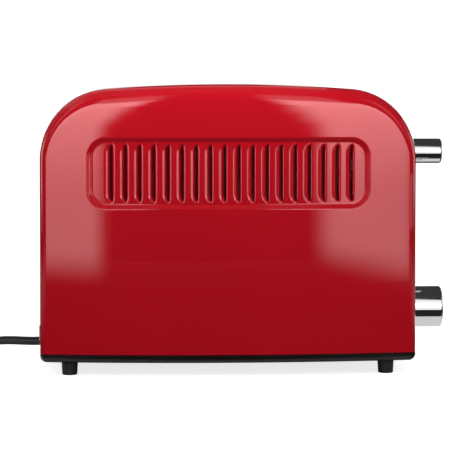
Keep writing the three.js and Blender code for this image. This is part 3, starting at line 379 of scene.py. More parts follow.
class NodeBoard:
    """The nodes of one material, laid out by short calls."""

    def __init__(self, name: str) -> None:
        """Starts a material that holds only its shader and output.

        Args:
            name: The material's name.
        """
        self.material = bpy.data.materials.new(name)
        self.material.use_nodes = True
        self.nodes = self.material.node_tree.nodes
        self.links = self.material.node_tree.links
        self.shader = self.nodes["Principled BSDF"]
        self.place = self.nodes.new("ShaderNodeTexCoord").outputs["Object"]

    def set(self, node: bpy.types.Node | None = None, **values: float | tuple[float, ...]) -> None:
        """Sets sockets of a node, or of the shader, named with _ for each space."""
        for name, value in values.items():
            (node or self.shader).inputs[name.replace("_", " ")].default_value = value

    def add(self, kind: str, **values: float | tuple[float, ...]) -> bpy.types.Node:
        """Adds a node of a kind and sets its sockets.

        Args:
            kind: The node's type without ShaderNode.
            **values: The sockets' values by their names.

        Returns:
            The node.
        """
        node = self.nodes.new(f"ShaderNode{kind}")
        self.set(node, **values)
        return node

    def stretched(self, scale: Triple) -> Socket:
        """The object's coordinates, stretched by a factor along each axis.

        Args:
            scale: The three factors.

        Returns:
            The stretched coordinates.
        """
        node = self.add("Mapping", Scale=scale)
        self.links.new(self.place, node.inputs["Vector"])
        return node.outputs["Vector"]

    def noise(
        self, scale: float, detail: float = 3.0, rough: float = 0.55, at: Socket | None = None
    ) -> Socket:
        """Adds a noise.

        Args:
            scale: Its cells per metre.
            detail: Its octaves.
            rough: The share that each octave keeps.
            at: The coordinates, or the object's own.

        Returns:
            Its value.
        """
        node = self.add("TexNoise", Scale=scale, Detail=detail, Roughness=rough)
        self.links.new(at or self.place, node.inputs["Vector"])
        return node.outputs["Fac"]

    def cells(self, scale: float) -> Socket:
        """Adds a cell pattern and gives its distance.

        Args:
            scale: Its cells per metre.

        Returns:
            The distance from the nearest cell's middle.
        """
        node = self.add("TexVoronoi", Scale=scale)
        self.links.new(self.place, node.inputs["Vector"])
        return node.outputs["Distance"]

    def ranged(
        self, value: Socket, low: float = 0.0, high: float = 1.0, start: float = 0.35, end: float = 0.65
    ) -> Socket:
        """Spreads a value over a range.

        Args:
            value: The value.
            low: What it gives at start.
            high: What it gives at end.
            start: The value at the range's low end.
            end: The value at its high end.

        Returns:
            The spread value.
        """
        node = self.add("MapRange", From_Min=start, From_Max=end, To_Min=low, To_Max=high)
        self.links.new(value, node.inputs["Value"])
        return node.outputs["Result"]

    def blend(self, share: Socket, first: Color, second: Color) -> None:
        """Feeds the shader a blend of two colours.

        Args:
            share: 0 for the first, 1 for the second.
            first: A colour.
            second: Another.
        """
        node = self.add("Mix")
        node.data_type = "RGBA"
        node.inputs[6].default_value = first
        node.inputs[7].default_value = second
        self.links.new(share, node.inputs[0])
        self.feed("Base Color", node.outputs[2])

    def feed(self, name: str, value: Socket) -> None:
        """Feeds one of the shader's sockets."""
        self.links.new(value, self.shader.inputs[name])

    def bump(self, height: Socket, distance: float, strength: float = 1.0) -> None:
        """Raises the surface by a height.

        Args:
            height: The height, from 0 to 1.
            distance: What a height of 1 measures, in metres.
            strength: How much of it is used.
        """
        node = self.add("Bump", Strength=strength, Distance=distance)
        self.links.new(height, node.inputs["Height"])
        self.feed("Normal", node.outputs["Normal"])


def linear(red: int, green: int, blue: int) -> Color:
    """A colour of 0 to 255 as the shader's linear numbers.

    Args:
        red: Its red.
        green: Its green.
        blue: Its blue.

    Returns:
        The opaque linear colour.
    """
    parts = [part / 255 for part in (red, green, blue)]
    lit = [part / 12.92 if part <= 0.04045 else ((part + 0.055) / 1.055) ** 2.4 for part in parts]
    return (lit[0], lit[1], lit[2], 1.0)


def scaled(color: Color, factor: float) -> Color:
    """A colour made lighter or darker by a factor."""
    return (color[0] * factor, color[1] * factor, color[2] * factor, 1.0)


MADE: dict[str, bpy.types.Material] = {}


@dataclass(frozen=True)
class Finish:
    """A finish that pieces share. Each kind fills its own board of nodes.

    rough holds the least and the most of its roughness.
    """

    name: str
    slot: str
    color: Color
    rough: Pair

    def fill(self, board: NodeBoard) -> None:
        """Lays out the nodes of this finish.

        Args:
            board: The nodes.
        """
        raise NotImplementedError

    def tint(self, board: NodeBoard, share: Socket, low: float, high: float) -> None:
        """Feeds the colour, from a darker or lighter shade of it to another by a share."""
        board.blend(share, scaled(self.color, low), scaled(self.color, high))

    def wear(self, board: NodeBoard, value: Socket) -> None:
        """Feeds the roughness, from its least to its most by a value."""
        board.feed("Roughness", board.ranged(value, *self.rough))

    def material(self) -> bpy.types.Material:
        """The material, made the first time that it is asked for.

        Returns:
            The one material that all pieces of this finish share.
        """
        if self.name not in MADE:
            board = NodeBoard(self.name)
            self.fill(board)
            MADE[self.name] = board.material
        return MADE[self.name]


@dataclass(frozen=True)
class Enamel(Finish):
    """Sprayed gloss paint on pressed steel: a deep colour under a clear, faintly wavy coat."""

    peel: float = 1.2e-6
    glint: Color = (1.0, 0.05, 0.07, 1.0)

    def fill(self, board: NodeBoard) -> None:
        """Lays out the colour, its slight drift and the sprayed surface.

        Args:
            board: The nodes.
        """
        board.set(Metallic=0.0, Coat_Weight=1.0, Coat_Roughness=0.025, Coat_IOR=1.5, IOR=1.5)
        board.set(Specular_IOR_Level=0.48, Specular_Tint=self.glint)
        self.tint(board, board.ranged(board.noise(9.0, 2.0)), 0.97, 1.03)
        self.wear(board, board.noise(60.0))
        board.bump(board.noise(420.0, 2.0, 0.5), self.peel)


@dataclass(frozen=True)
class Moulded(Finish):
    """Moulded plastic or rubber with a fine eroded skin."""

    grain: float = 900.0
    depth: float = 8e-6

    def fill(self, board: NodeBoard) -> None:
        """Lays out the colour, scuffs and the grain of the mould.

        Args:
            board: The nodes.
        """
        board.set(Metallic=0.0, IOR=1.48)
        self.tint(board, board.ranged(board.noise(35.0, 4.0)), 0.88, 1.15)
        self.wear(board, board.noise(130.0, 5.0, 0.65))
        board.bump(board.noise(self.grain, 4.0, 0.6), self.depth)


@dataclass(frozen=True)
class Plated(Finish):
    """Polished plating with hairline marks from wiping."""

    def fill(self, board: NodeBoard) -> None:
        """Lays out the mirror, its smudges and hairlines.

        Args:
            board: The nodes.
        """
        board.set(Metallic=1.0, Base_Color=self.color)
        self.wear(board, board.noise(45.0))
        board.bump(board.noise(1.0, 2.0, 0.5, board.stretched((150.0, 2400.0, 2400.0))), 1e-7)


@dataclass(frozen=True)
class Brushed(Finish):
    """Sheet steel brushed along one direction."""

    along: Triple = (12.0, 2200.0, 2200.0)
    spread: float = 0.05

    def fill(self, board: NodeBoard) -> None:
        """Lays out the streaks in colour, roughness and height.

        Args:
            board: The nodes.
        """
        board.set(Metallic=0.85)
        streak = board.noise(1.0, 4.0, 0.6, board.stretched(self.along))
        self.tint(board, board.ranged(streak), 1 - self.spread, 1 + self.spread)
        self.wear(board, streak)
        board.bump(streak, 2e-6, 0.5)


@dataclass(frozen=True)
class Galvanised(Finish):
    """Plain rolled steel with a dull, clouded skin, heated brown where it is warm."""

    warm: Color = (0.32, 0.24, 0.17, 1.0)

    def fill(self, board: NodeBoard) -> None:
        """Lays out the clouded metal with warm stains and rolling marks.

        Args:
            board: The nodes.
        """
        board.set(Metallic=1.0)
        board.blend(board.ranged(board.noise(22.0, 4.0, 0.6), 0.0, 0.45, 0.45, 0.75), self.color, self.warm)
        self.wear(board, board.noise(140.0, 4.0))
        board.bump(board.noise(1.0, 3.0, 0.6, board.stretched((900.0, 900.0, 60.0))), 3e-6, 0.6)


@dataclass(frozen=True)
class Mica(Finish):
    """Pressed mica board: pale flakes in layers with a slight gloss."""

    flake: float = 420.0

    def fill(self, board: NodeBoard) -> None:
        """Lays out the flakes, their tones and glints.

        Args:
            board: The nodes.
        """
        board.set(Metallic=0.0, IOR=1.56)
        self.tint(board, board.ranged(board.cells(self.flake), 0.0, 1.0, 0.1, 0.7), 1.1, 0.72)
        self.wear(board, board.noise(700.0))
        board.bump(board.cells(self.flake), 1.5e-5, 0.5)


@dataclass(frozen=True)
class Heated(Finish):
    """Resistance ribbon with the straw and grey tones of a heated alloy."""

    straw: Color = (0.30, 0.17, 0.10, 1.0)

    def fill(self, board: NodeBoard) -> None:
        """Lays out the oxide's tones along the ribbon.

        Args:
            board: The nodes.
        """
        board.set(Metallic=0.9)
        board.blend(board.ranged(board.noise(70.0)), self.color, self.straw)
        self.wear(board, board.noise(400.0))
        board.bump(board.noise(1500.0, 2.0), 2e-6)


@dataclass(frozen=True)
class Circuit(Finish):
    """Circuit board under green lacquer, with the tracks showing through."""

    def fill(self, board: NodeBoard) -> None:
        """Lays out lacquer, tracks and their height.

        Args:
            board: The nodes.
        """
        board.set(Metallic=0.0, Coat_Weight=0.6, Coat_Roughness=0.15)
        track = board.ranged(board.cells(260.0), 0.0, 1.0, 0.2, 0.35)
        self.tint(board, track, 1.7, 1.0)
        self.wear(board, board.noise(300.0, 2.0))
        board.bump(track, 2e-5, 0.5)


RED_ENAMEL = Enamel("gloss_red", "red_enamel", (0.40, 0.0045, 0.0115, 1.0), (0.081, 0.1035))
BLACK_PLASTIC = Moulded("moulded_black", "black_plastic", linear(15, 9, 9), (0.289, 0.391), 700.0, 6e-6)
FOOT_RUBBER = Moulded("foot_rubber", "rubber", linear(14, 10, 9), (0.425, 0.575), 800.0, 1e-5)
CORD_RUBBER = Moulded("cord_rubber", "rubber", linear(44, 44, 47), (0.306, 0.414), 1200.0, 4e-6)
TIE_RUBBER = Moulded("tie_rubber", "rubber", linear(40, 40, 42), (0.6375, 0.8625), 500.0, 3e-5)
SWITCH_PLASTIC = Moulded("switch_plastic", "black_plastic", linear(30, 28, 28), (0.4675, 0.6325), 900.0, 1e-5)
CHROME = Plated("polished_chrome", "chrome", linear(232, 232, 235), (0.03, 0.09))
DECK_STEEL = Brushed(
    "deck_steel", "brushed_steel", linear(214, 215, 217), (0.306, 0.3808), (5.0, 2600.0, 2600.0)
)
TRAY_STEEL = Brushed(
    "tray_steel", "brushed_steel", linear(186, 188, 190), (0.324, 0.4032), (2200.0, 12.0, 2200.0)
)
PLAIN_STEEL = Galvanised("rolled_steel", "plain_steel", linear(170, 172, 174), (0.304, 0.494))
WIRE_STEEL = Plated("wire_steel", "plain_steel", linear(190, 190, 192), (0.132, 0.396))
MICA = Mica("mica_card", "mica", linear(205, 190, 160), (0.35, 0.75))
HEATER_WIRE = Heated("heater_ribbon", "heater_wire", linear(130, 120, 112), (0.4, 0.65))
BOARD = Circuit("circuit_board", "board", linear(22, 84, 48), (0.4, 0.6))
COPPER = Plated("copper_wire", "copper", linear(188, 106, 66), (0.18, 0.54))
BRASS = Plated("plain_brass", "brass", linear(214, 186, 120), (0.096, 0.288))


# Camera, light and floor


@dataclass(frozen=True)
class Studio:
    """A pale floor and soft light, with the camera square on to the long side as in the photograph.

    Lamps light the object and don't show in gloss. Reflectors show in gloss only, so that each can be shaped
    for what it should look like there. cards holds the plain ones round the knobs, each with its name, a corner,
    the ways to the two corners beside it and how bright it is.
    """

    eye: Triple = (-0.06799, -1.2805, 0.18902)
    yaw: float = math.radians(2.5093)
    pitch: float = math.radians(1.95)
    lens: float = 142.396
    drop: float = -0.14746
    sky: float = 0.30
    floor_half: float = 6.0
    floor_color: Color = (0.86, 0.86, 0.86, 1.0)
    wall_y: float = 0.9
    wall_half: float = 2.0
    wall_height: float = 1.35
    wall_foot: float = 0.001
    dark: float = 0.02
    end_x: float = 1.3
    mat_start: float = 0.2
    mat_y: float = 0.088
    mat_z: float = 0.0006
    mat_dark: float = 0.015
    gap_centre: float = -0.012
    key_watts: float = 8.6
    cards: tuple[tuple[str, Triple, Triple, Triple, float], ...] = (
        ("mat_knobs_front", (0.12, -0.03, 0.0006), (0.066, 0, 0), (0, -0.058, 0), 0.02),
        ("mat_knobs_rear", (0.12, 0.03, 0.0006), (0.066, 0, 0), (0, 0.058, 0), 0.02),
        ("knob_shade", (0.11, -0.27, 0.45), (0.5, 0, 0), (0, 1.12, 0), 0.045),
        ("knob_floor", (0.12, -0.036, 0.0007), (0.066, 0, 0), (0, 0.12, 0), 0.72),
        ("knob_glow_low", (0.124, -0.05, 0.0275), (0.03, 0, 0), (0, 0, 0.0095), 1.1),
        ("knob_glow_high", (0.1415, -0.13, 0.094), (0.06, 0, 0), (0, 0, 0.04), 1.1),
    )

    def camera(self) -> None:
        """Sets the camera on the photograph's viewpoint."""
        data = bpy.data.cameras.new("camera")
        data.sensor_width = 36.0
        data.lens = self.lens
        data.shift_y = self.drop
        data.clip_start = 0.05
        data.clip_end = 60.0
        camera = bpy.data.objects.new("camera", data)
        camera.location = self.eye
        camera.rotation_euler = (math.pi / 2 - self.pitch, 0.0, -self.yaw)
        bpy.context.scene.collection.objects.link(camera)
        bpy.context.scene.camera = camera

    def world(self) -> None:
        """A world that is white to the eye and in metal, and lights softly."""
        world = bpy.data.worlds.new("studio")
        bpy.context.scene.world = world
        world.use_nodes = True
        nodes, links = world.node_tree.nodes, world.node_tree.links
        shown = nodes["Background"]
        shown.inputs["Color"].default_value = (1, 1, 1, 1)
        shown.inputs["Strength"].default_value = 1.0
        lit = nodes.new("ShaderNodeBackground")
        lit.inputs["Color"].default_value = (1, 1, 1, 1)
        lit.inputs["Strength"].default_value = self.sky
        path = nodes.new("ShaderNodeLightPath")
        share = path.outputs["Is Camera Ray"]
        for ray in ("Is Glossy Ray", "Is Transmission Ray"):
            either = nodes.new("ShaderNodeMath")
            either.operation = "MAXIMUM"
            links.new(share, either.inputs[0])
            links.new(path.outputs[ray], either.inputs[1])
            share = either.outputs[0]
        mix = nodes.new("ShaderNodeMixShader")
        links.new(share, mix.inputs["Fac"])
        links.new(lit.outputs[0], mix.inputs[1])
        links.new(shown.outputs[0], mix.inputs[2])
        links.new(mix.outputs[0], nodes["World Output"].inputs["Surface"])

    def floor(self) -> None:
        """A white floor that keeps a faint shadow under the object and turns pure white away from it."""
        bm = bmesh.new()
        bmesh.ops.create_grid(bm, x_segments=1, y_segments=1, size=self.floor_half)
        floor = put_in_scene("floor", bm)
        board = NodeBoard("floor")
        board.set(Base_Color=self.floor_color, Roughness=0.9, Specular_IOR_Level=0.0)
        board.set(Emission_Color=(1, 1, 1, 1))
        away = board.add("VectorMath")
        away.operation = "LENGTH"
        board.links.new(board.place, away.inputs[0])
        glow = board.ranged(away.outputs["Value"], 0.78, 1.0, 0.2, 0.8)
        seen = board.add("Math")
        seen.operation = "MULTIPLY"
        board.links.new(board.add("LightPath").outputs["Is Camera Ray"], seen.inputs[0])
        board.links.new(glow, seen.inputs[1])
        board.feed("Emission Strength", seen.outputs[0])
        floor.data.materials.append(board.material)

    def lamp(self, name: str, place: Triple, aim: Triple, size: Pair, watts: float) -> None:
        """Adds one soft lamp that neither gloss nor the camera shows.

        Args:
            name: Its name.
            place: Where it hangs.
            aim: The point that it faces.
            size: Its width and height.
            watts: Its power.
        """
        data = bpy.data.lights.new(name, "AREA")
        data.shape = "RECTANGLE"
        data.size, data.size_y = size
        data.energy = watts
        lamp = bpy.data.objects.new(name, data)
        lamp.location = place
        lamp.rotation_euler = (Vector(aim) - Vector(place)).to_track_quat("-Z", "Y").to_euler()
        lamp.visible_glossy = False
        lamp.visible_camera = False
        bpy.context.scene.collection.objects.link(lamp)

    def reflector(
        self, name: str, corner: Triple, along: Triple, up: Triple, steps: tuple[int, int],
        level: Callable[[Vector], float],
    ) -> None:
        """Adds a flat reflector that only gloss shows.

        Args:
            name: Its name.
            corner: One of its corners.
            along: The way to the next corner.
            up: The way to the corner on the other side.
            steps: The points along each way.
            level: Gives how bright it is at a point, where 1 is white.
        """
        home, width, height = Vector(corner), Vector(along), Vector(up)
        columns, rows = steps
        bm = mapped_grid(
            columns, rows, lambda i, j: home + width * (i / (columns - 1)) + height * (j / (rows - 1))
        )
        board = put_in_scene(name, bm)
        shade = board.data.color_attributes.new("shade", "FLOAT_COLOR", "POINT")
        for index, vert in enumerate(board.data.vertices):
            tone = level(vert.co)
            shade.data[index].color = (tone, tone, tone, 1.0)
        material = bpy.data.materials.new(name)
        material.use_nodes = True
        nodes, links = material.node_tree.nodes, material.node_tree.links
        nodes.remove(nodes["Principled BSDF"])
        light = nodes.new("ShaderNodeEmission")
        tone = nodes.new("ShaderNodeVertexColor")
        tone.layer_name = "shade"
        links.new(tone.outputs["Color"], light.inputs["Color"])
        links.new(light.outputs[0], nodes["Material Output"].inputs["Surface"])
        board.data.materials.append(material)
        board.visible_camera = False
        board.visible_diffuse = False
        board.visible_shadow = False
        board.visible_transmission = False
        board.visible_volume_scatter = False

    def wall_level(self, point: Vector) -> float:
        """The two tall softboxes before a long side, with the dark between them.

        The numbers were found by tracing the photograph's highlights back to the wall. The left box and the
        right box differ a little.

        Args:
            point: A point of the wall.

        Returns:
            How bright the wall is there.
        """
        x, z = point.x - self.gap_centre, point.z
        sink = 0.12 * (x - 0.26)
        gap, reach, soft, low, high = (
            (0.27, 0.47, 0.024, -0.028, 0.014) if x < 0 else (0.263, 0.49, 0.038, -0.014 - sink, 0.032 - sink)
        )
        gap -= 0.095 * smoothstep(0.15, 0.195, z) + 0.035 * smoothstep(0.19, 0.36, z)
        reach -= 0.16 * smoothstep(0.19, 0.42, z)
        outer = 1 - smoothstep(reach - 0.02, reach + 0.03, abs(x))
        inside = smoothstep(gap - soft, gap + soft, abs(x)) * outer
        fading = (1 - smoothstep(0.45, 1.28, z)) * (1 - 0.75 * smoothstep(0.27, 0.4, z))
        tall = smoothstep(low, high, z) * fading
        bright = 2.5 + 1.3 * smoothstep(0.07, 0.17, z) + 1.2 * smoothstep(0.15, 0.2, z)
        far = 0.7 * smoothstep(0.6, 0.9, abs(x)) * smoothstep(0.25, 0.5, z)
        return self.dark + bright * inside * tall + far

    def ceiling_level(self, point: Vector) -> float:
        """A ceiling that is dim over the object and pale to its sides and its rear.

        Args:
            point: A point of the ceiling.

        Returns:
            How bright the ceiling is there.
        """
        side = smoothstep(0.5, 0.9, abs(point.x - self.gap_centre))
        back = smoothstep(0.25, 0.5, point.y)
        return 0.14 + 0.3 * max(side, back)

    def rear_wall_level(self, point: Vector) -> float:
        """The rear wall, which also glows over the object's height so that the crown's edge isn't dark.

        Args:
            point: A point of the wall.

        Returns:
            How bright the wall is there.
        """
        glow = smoothstep(0.195, 0.215, point.z) * (1 - smoothstep(0.3, 0.6, point.z))
        return max(self.wall_level(point), glow)

    def end_level(self, point: Vector) -> float:
        """A wall before an end: a tall white strip that widens above and fades with the height.

        Args:
            point: A point of the wall.

        Returns:
            How bright the wall is there.
        """
        y, z = abs(point.y), point.z
        strip = 1.9 * (1 - smoothstep(0.24, 0.40, y)) * smoothstep(0.0, 0.08, z)
        spread = 1.4 * (1 - smoothstep(0.25, 0.7, y)) * smoothstep(0.25, 0.6, z)
        return self.dark + max(strip, spread) * (1 - 0.88 * smoothstep(0.28, 0.65, z))

    def mat_level(self, point: Vector) -> float:
        """The dark mat round the object, paler out beyond its ends and below the walls.

        Args:
            point: A point of the mat.

        Returns:
            How bright the mat is there.
        """
        out = abs(point.x - self.gap_centre) - self.mat_start
        pale = 0.35 * smoothstep(0.05, 0.4, out) * (1 - smoothstep(0.5, 0.9, out))
        back = self.wall_y - abs(point.y)
        if back > 0.25:
            return self.mat_dark + pale
        spread = (self.wall_y + 0.25) / (abs(point.y) + 0.25)
        foot = Vector((self.gap_centre + (point.x - self.gap_centre) * spread, point.y, -0.1 * back))
        return self.mat_dark + max(pale, self.wall_level(foot))

    def light(self) -> None:
        """Hangs the lamps and the reflectors, alike on both long sides."""
        for row, side in (("key", -1), ("rear", 1)):
            for end, x in (("left", -1.3), ("right", 1.4)):
                self.lamp(f"{row}_{end}", (x, side * 1.5, 0.9), (0, 0, 0.1), (1.0, 1.4), self.key_watts)
        self.lamp("top", (0, 0, 1.8), (0, 0, 0), (1.6, 1.6), 3.5)
        wide = (2 * self.wall_half, 0, 0)
        for name, side in SIDES:
            aim = (self.gap_centre, side * 0.08, 0.15)
            self.lamp(f"strip_{name}", (self.gap_centre, side * 0.17, 0.258), aim, (0.33, 0.04), 0.27)
            self.reflector(
                f"wall_{name}", (-self.wall_half, side * self.wall_y, self.wall_foot), wide,
                (0, 0, self.wall_height), (241, 121), self.wall_level if side < 0 else self.rear_wall_level,
            )
            self.reflector(
                f"mat_{name}", (-self.wall_half, side * self.mat_y, self.mat_z), wide,
                (0, side * (self.wall_y - self.mat_y), 0), (241, 41), self.mat_level,
            )
        for name, side in ENDS:
            start = BODY_MIDDLE_X + side * self.mat_start
            self.reflector(
                f"mat_{name}", (start, -self.mat_y, self.mat_z), (side * self.end_x - start, 0, 0),
                (0, 2 * self.mat_y, 0), (24, 3), self.mat_level,
            )
            self.reflector(
                f"wall_{name}", (side * self.end_x, -self.wall_y, self.wall_foot), (0, 2 * self.wall_y, 0),
                (0, 0, self.wall_height), (31, 41), self.end_level,
            )
        self.reflector(
            "ceiling", (-1.4, -0.95, self.wall_height), (2.8, 0, 0), (0, 1.9, 0), (29, 20), self.ceiling_level
        )
        for name, corner, along, up, tone in self.cards:
            self.reflector(name, corner, along, up, (3, 3), lambda point, tone=tone: tone)


# Body outline


@dataclass(frozen=True)
class Station:
    """A point of the outline with the way out of the body there.

    top_share is 0 on the upright ends and 1 on the crown.
    """

    x: float
    z: float
    out_x: float
    out_z: float
    top_share: float

    def inset(self, depth: float, y: float) -> Vector:
        """The point that lies depth under the outline."""
        return Vector((self.x - self.out_x * depth, y, self.z - self.out_z * depth))


@dataclass(frozen=True)
class Outline:
    """The body's outline seen from its long side, and how it bows and bulges.

    Its x is measured from the body's middle. side_fillet rounds the sides to the ends, and top_fillet rounds
    them to the crown.
    """

    half_length: float = 128.5 * MM
    half_depth: float = 82 * MM
    height: float = 198.5 * MM
    bottom: float = 15.1 * MM
    side_bow: float = 9.1 * MM
    corner_radius: float = 48 * MM
    crown_rise: float = 2.9 * MM
    side_fillet: float = 4.5 * MM
    top_fillet: float = 11 * MM
    flange_edge: float = 52 * MM
    end_bulge: float = 3 * MM

    @property
    def corner_x(self) -> float:
        """The distance of a corner's centre from the middle."""
        return self.half_length - self.corner_radius

    @property
    def corner_z(self) -> float:
        """The height of a corner's centre."""
        return self.height - self.crown_rise - self.corner_radius

    @property
    def crown_reach(self) -> float:
        """The distance from the crown's centre to a corner's centre."""
        return (self.corner_x**2 + self.crown_rise**2) / (2 * self.crown_rise)

    @property
    def crown_angle(self) -> float:
        """Half the angle that the crown spans."""
        return math.asin(self.corner_x / self.crown_reach)

    @property
    def crown_radius(self) -> float:
        """The radius of the crown."""
        return self.corner_radius + self.crown_reach

    @property
    def face_half(self) -> float:
        """Half the length of a long side's face, between its upright fillets."""
        return self.half_length - self.side_fillet

    def face_edge(self, station: Station) -> Vector:
        """The point at which the face of a long side passes into its fillet."""
        return station.inset(self.fillet(station.top_share), 0)

    def fillet(self, top_share: float) -> float:
        """The radius between the long side and the ends or the crown."""
        return self.side_fillet + (self.top_fillet - self.side_fillet) * top_share

    def reach(self, x: float) -> float:
        """How far the long side stands from the middle plane at x."""
        return self.half_depth - self.side_bow * (x / self.half_length) ** 2

    def bulge(self, y: float) -> float:
        """How far an end stands out beyond the half length at y."""
        share = min(abs(y) / self.flange_edge, 1.0)
        return self.end_bulge * (1 - share * share)

    def foot_station(self, side: int, z: float) -> Station:
        """A station on an upright end, on the side of -1 or 1."""
        return Station(side * self.half_length, z, side, 0.0, 0.0)

    def corner_station(self, side: int, top_share: float) -> Station:
        """A station on a corner, on the side of -1 or 1.

        Args:
            side: -1 for the left corner and 1 for the right.
            top_share: 0 at its foot and 1 at the crown.

        Returns:
            The station.
        """
        angle = top_share * (math.pi / 2 - self.crown_angle)
        out_x, out_z = side * math.cos(angle), math.sin(angle)
        x = side * self.corner_x + self.corner_radius * out_x
        return Station(x, self.corner_z + self.corner_radius * out_z, out_x, out_z, top_share)

    def crown_station(self, share: float) -> Station:
        """A station on the crown, from -1 at its left end to 1 at its right end.

        Args:
            share: The place along the crown.

        Returns:
            The station.
        """
        angle = self.crown_angle * share
        out_x, out_z = math.sin(angle), math.cos(angle)
        centre_z = self.height - self.crown_radius
        return Station(self.crown_radius * out_x, centre_z + self.crown_radius * out_z, out_x, out_z, 1.0)

    def station_over(self, x: float) -> Station:
        """The station, on the crown or on a corner, whose face edge lies at x along the long side.

        Args:
            x: A place along the long side.

        Returns:
            The station on the crown or on a corner.
        """
        crown_share = math.asin(x / (self.crown_radius - self.top_fillet)) / self.crown_angle
        if abs(crown_share) <= 1:
            return self.crown_station(crown_share)
        side = -1 if x < 0 else 1
        low, high = 0.0, 1.0
        for _ in range(48):
            middle = (low + high) / 2
            edge = abs(self.face_edge(self.corner_station(side, middle)).x)
            low, high = (middle, high) if edge > abs(x) else (low, middle)
        return self.corner_station(side, (low + high) / 2)


OUTLINE = Outline()


# The pressed sides


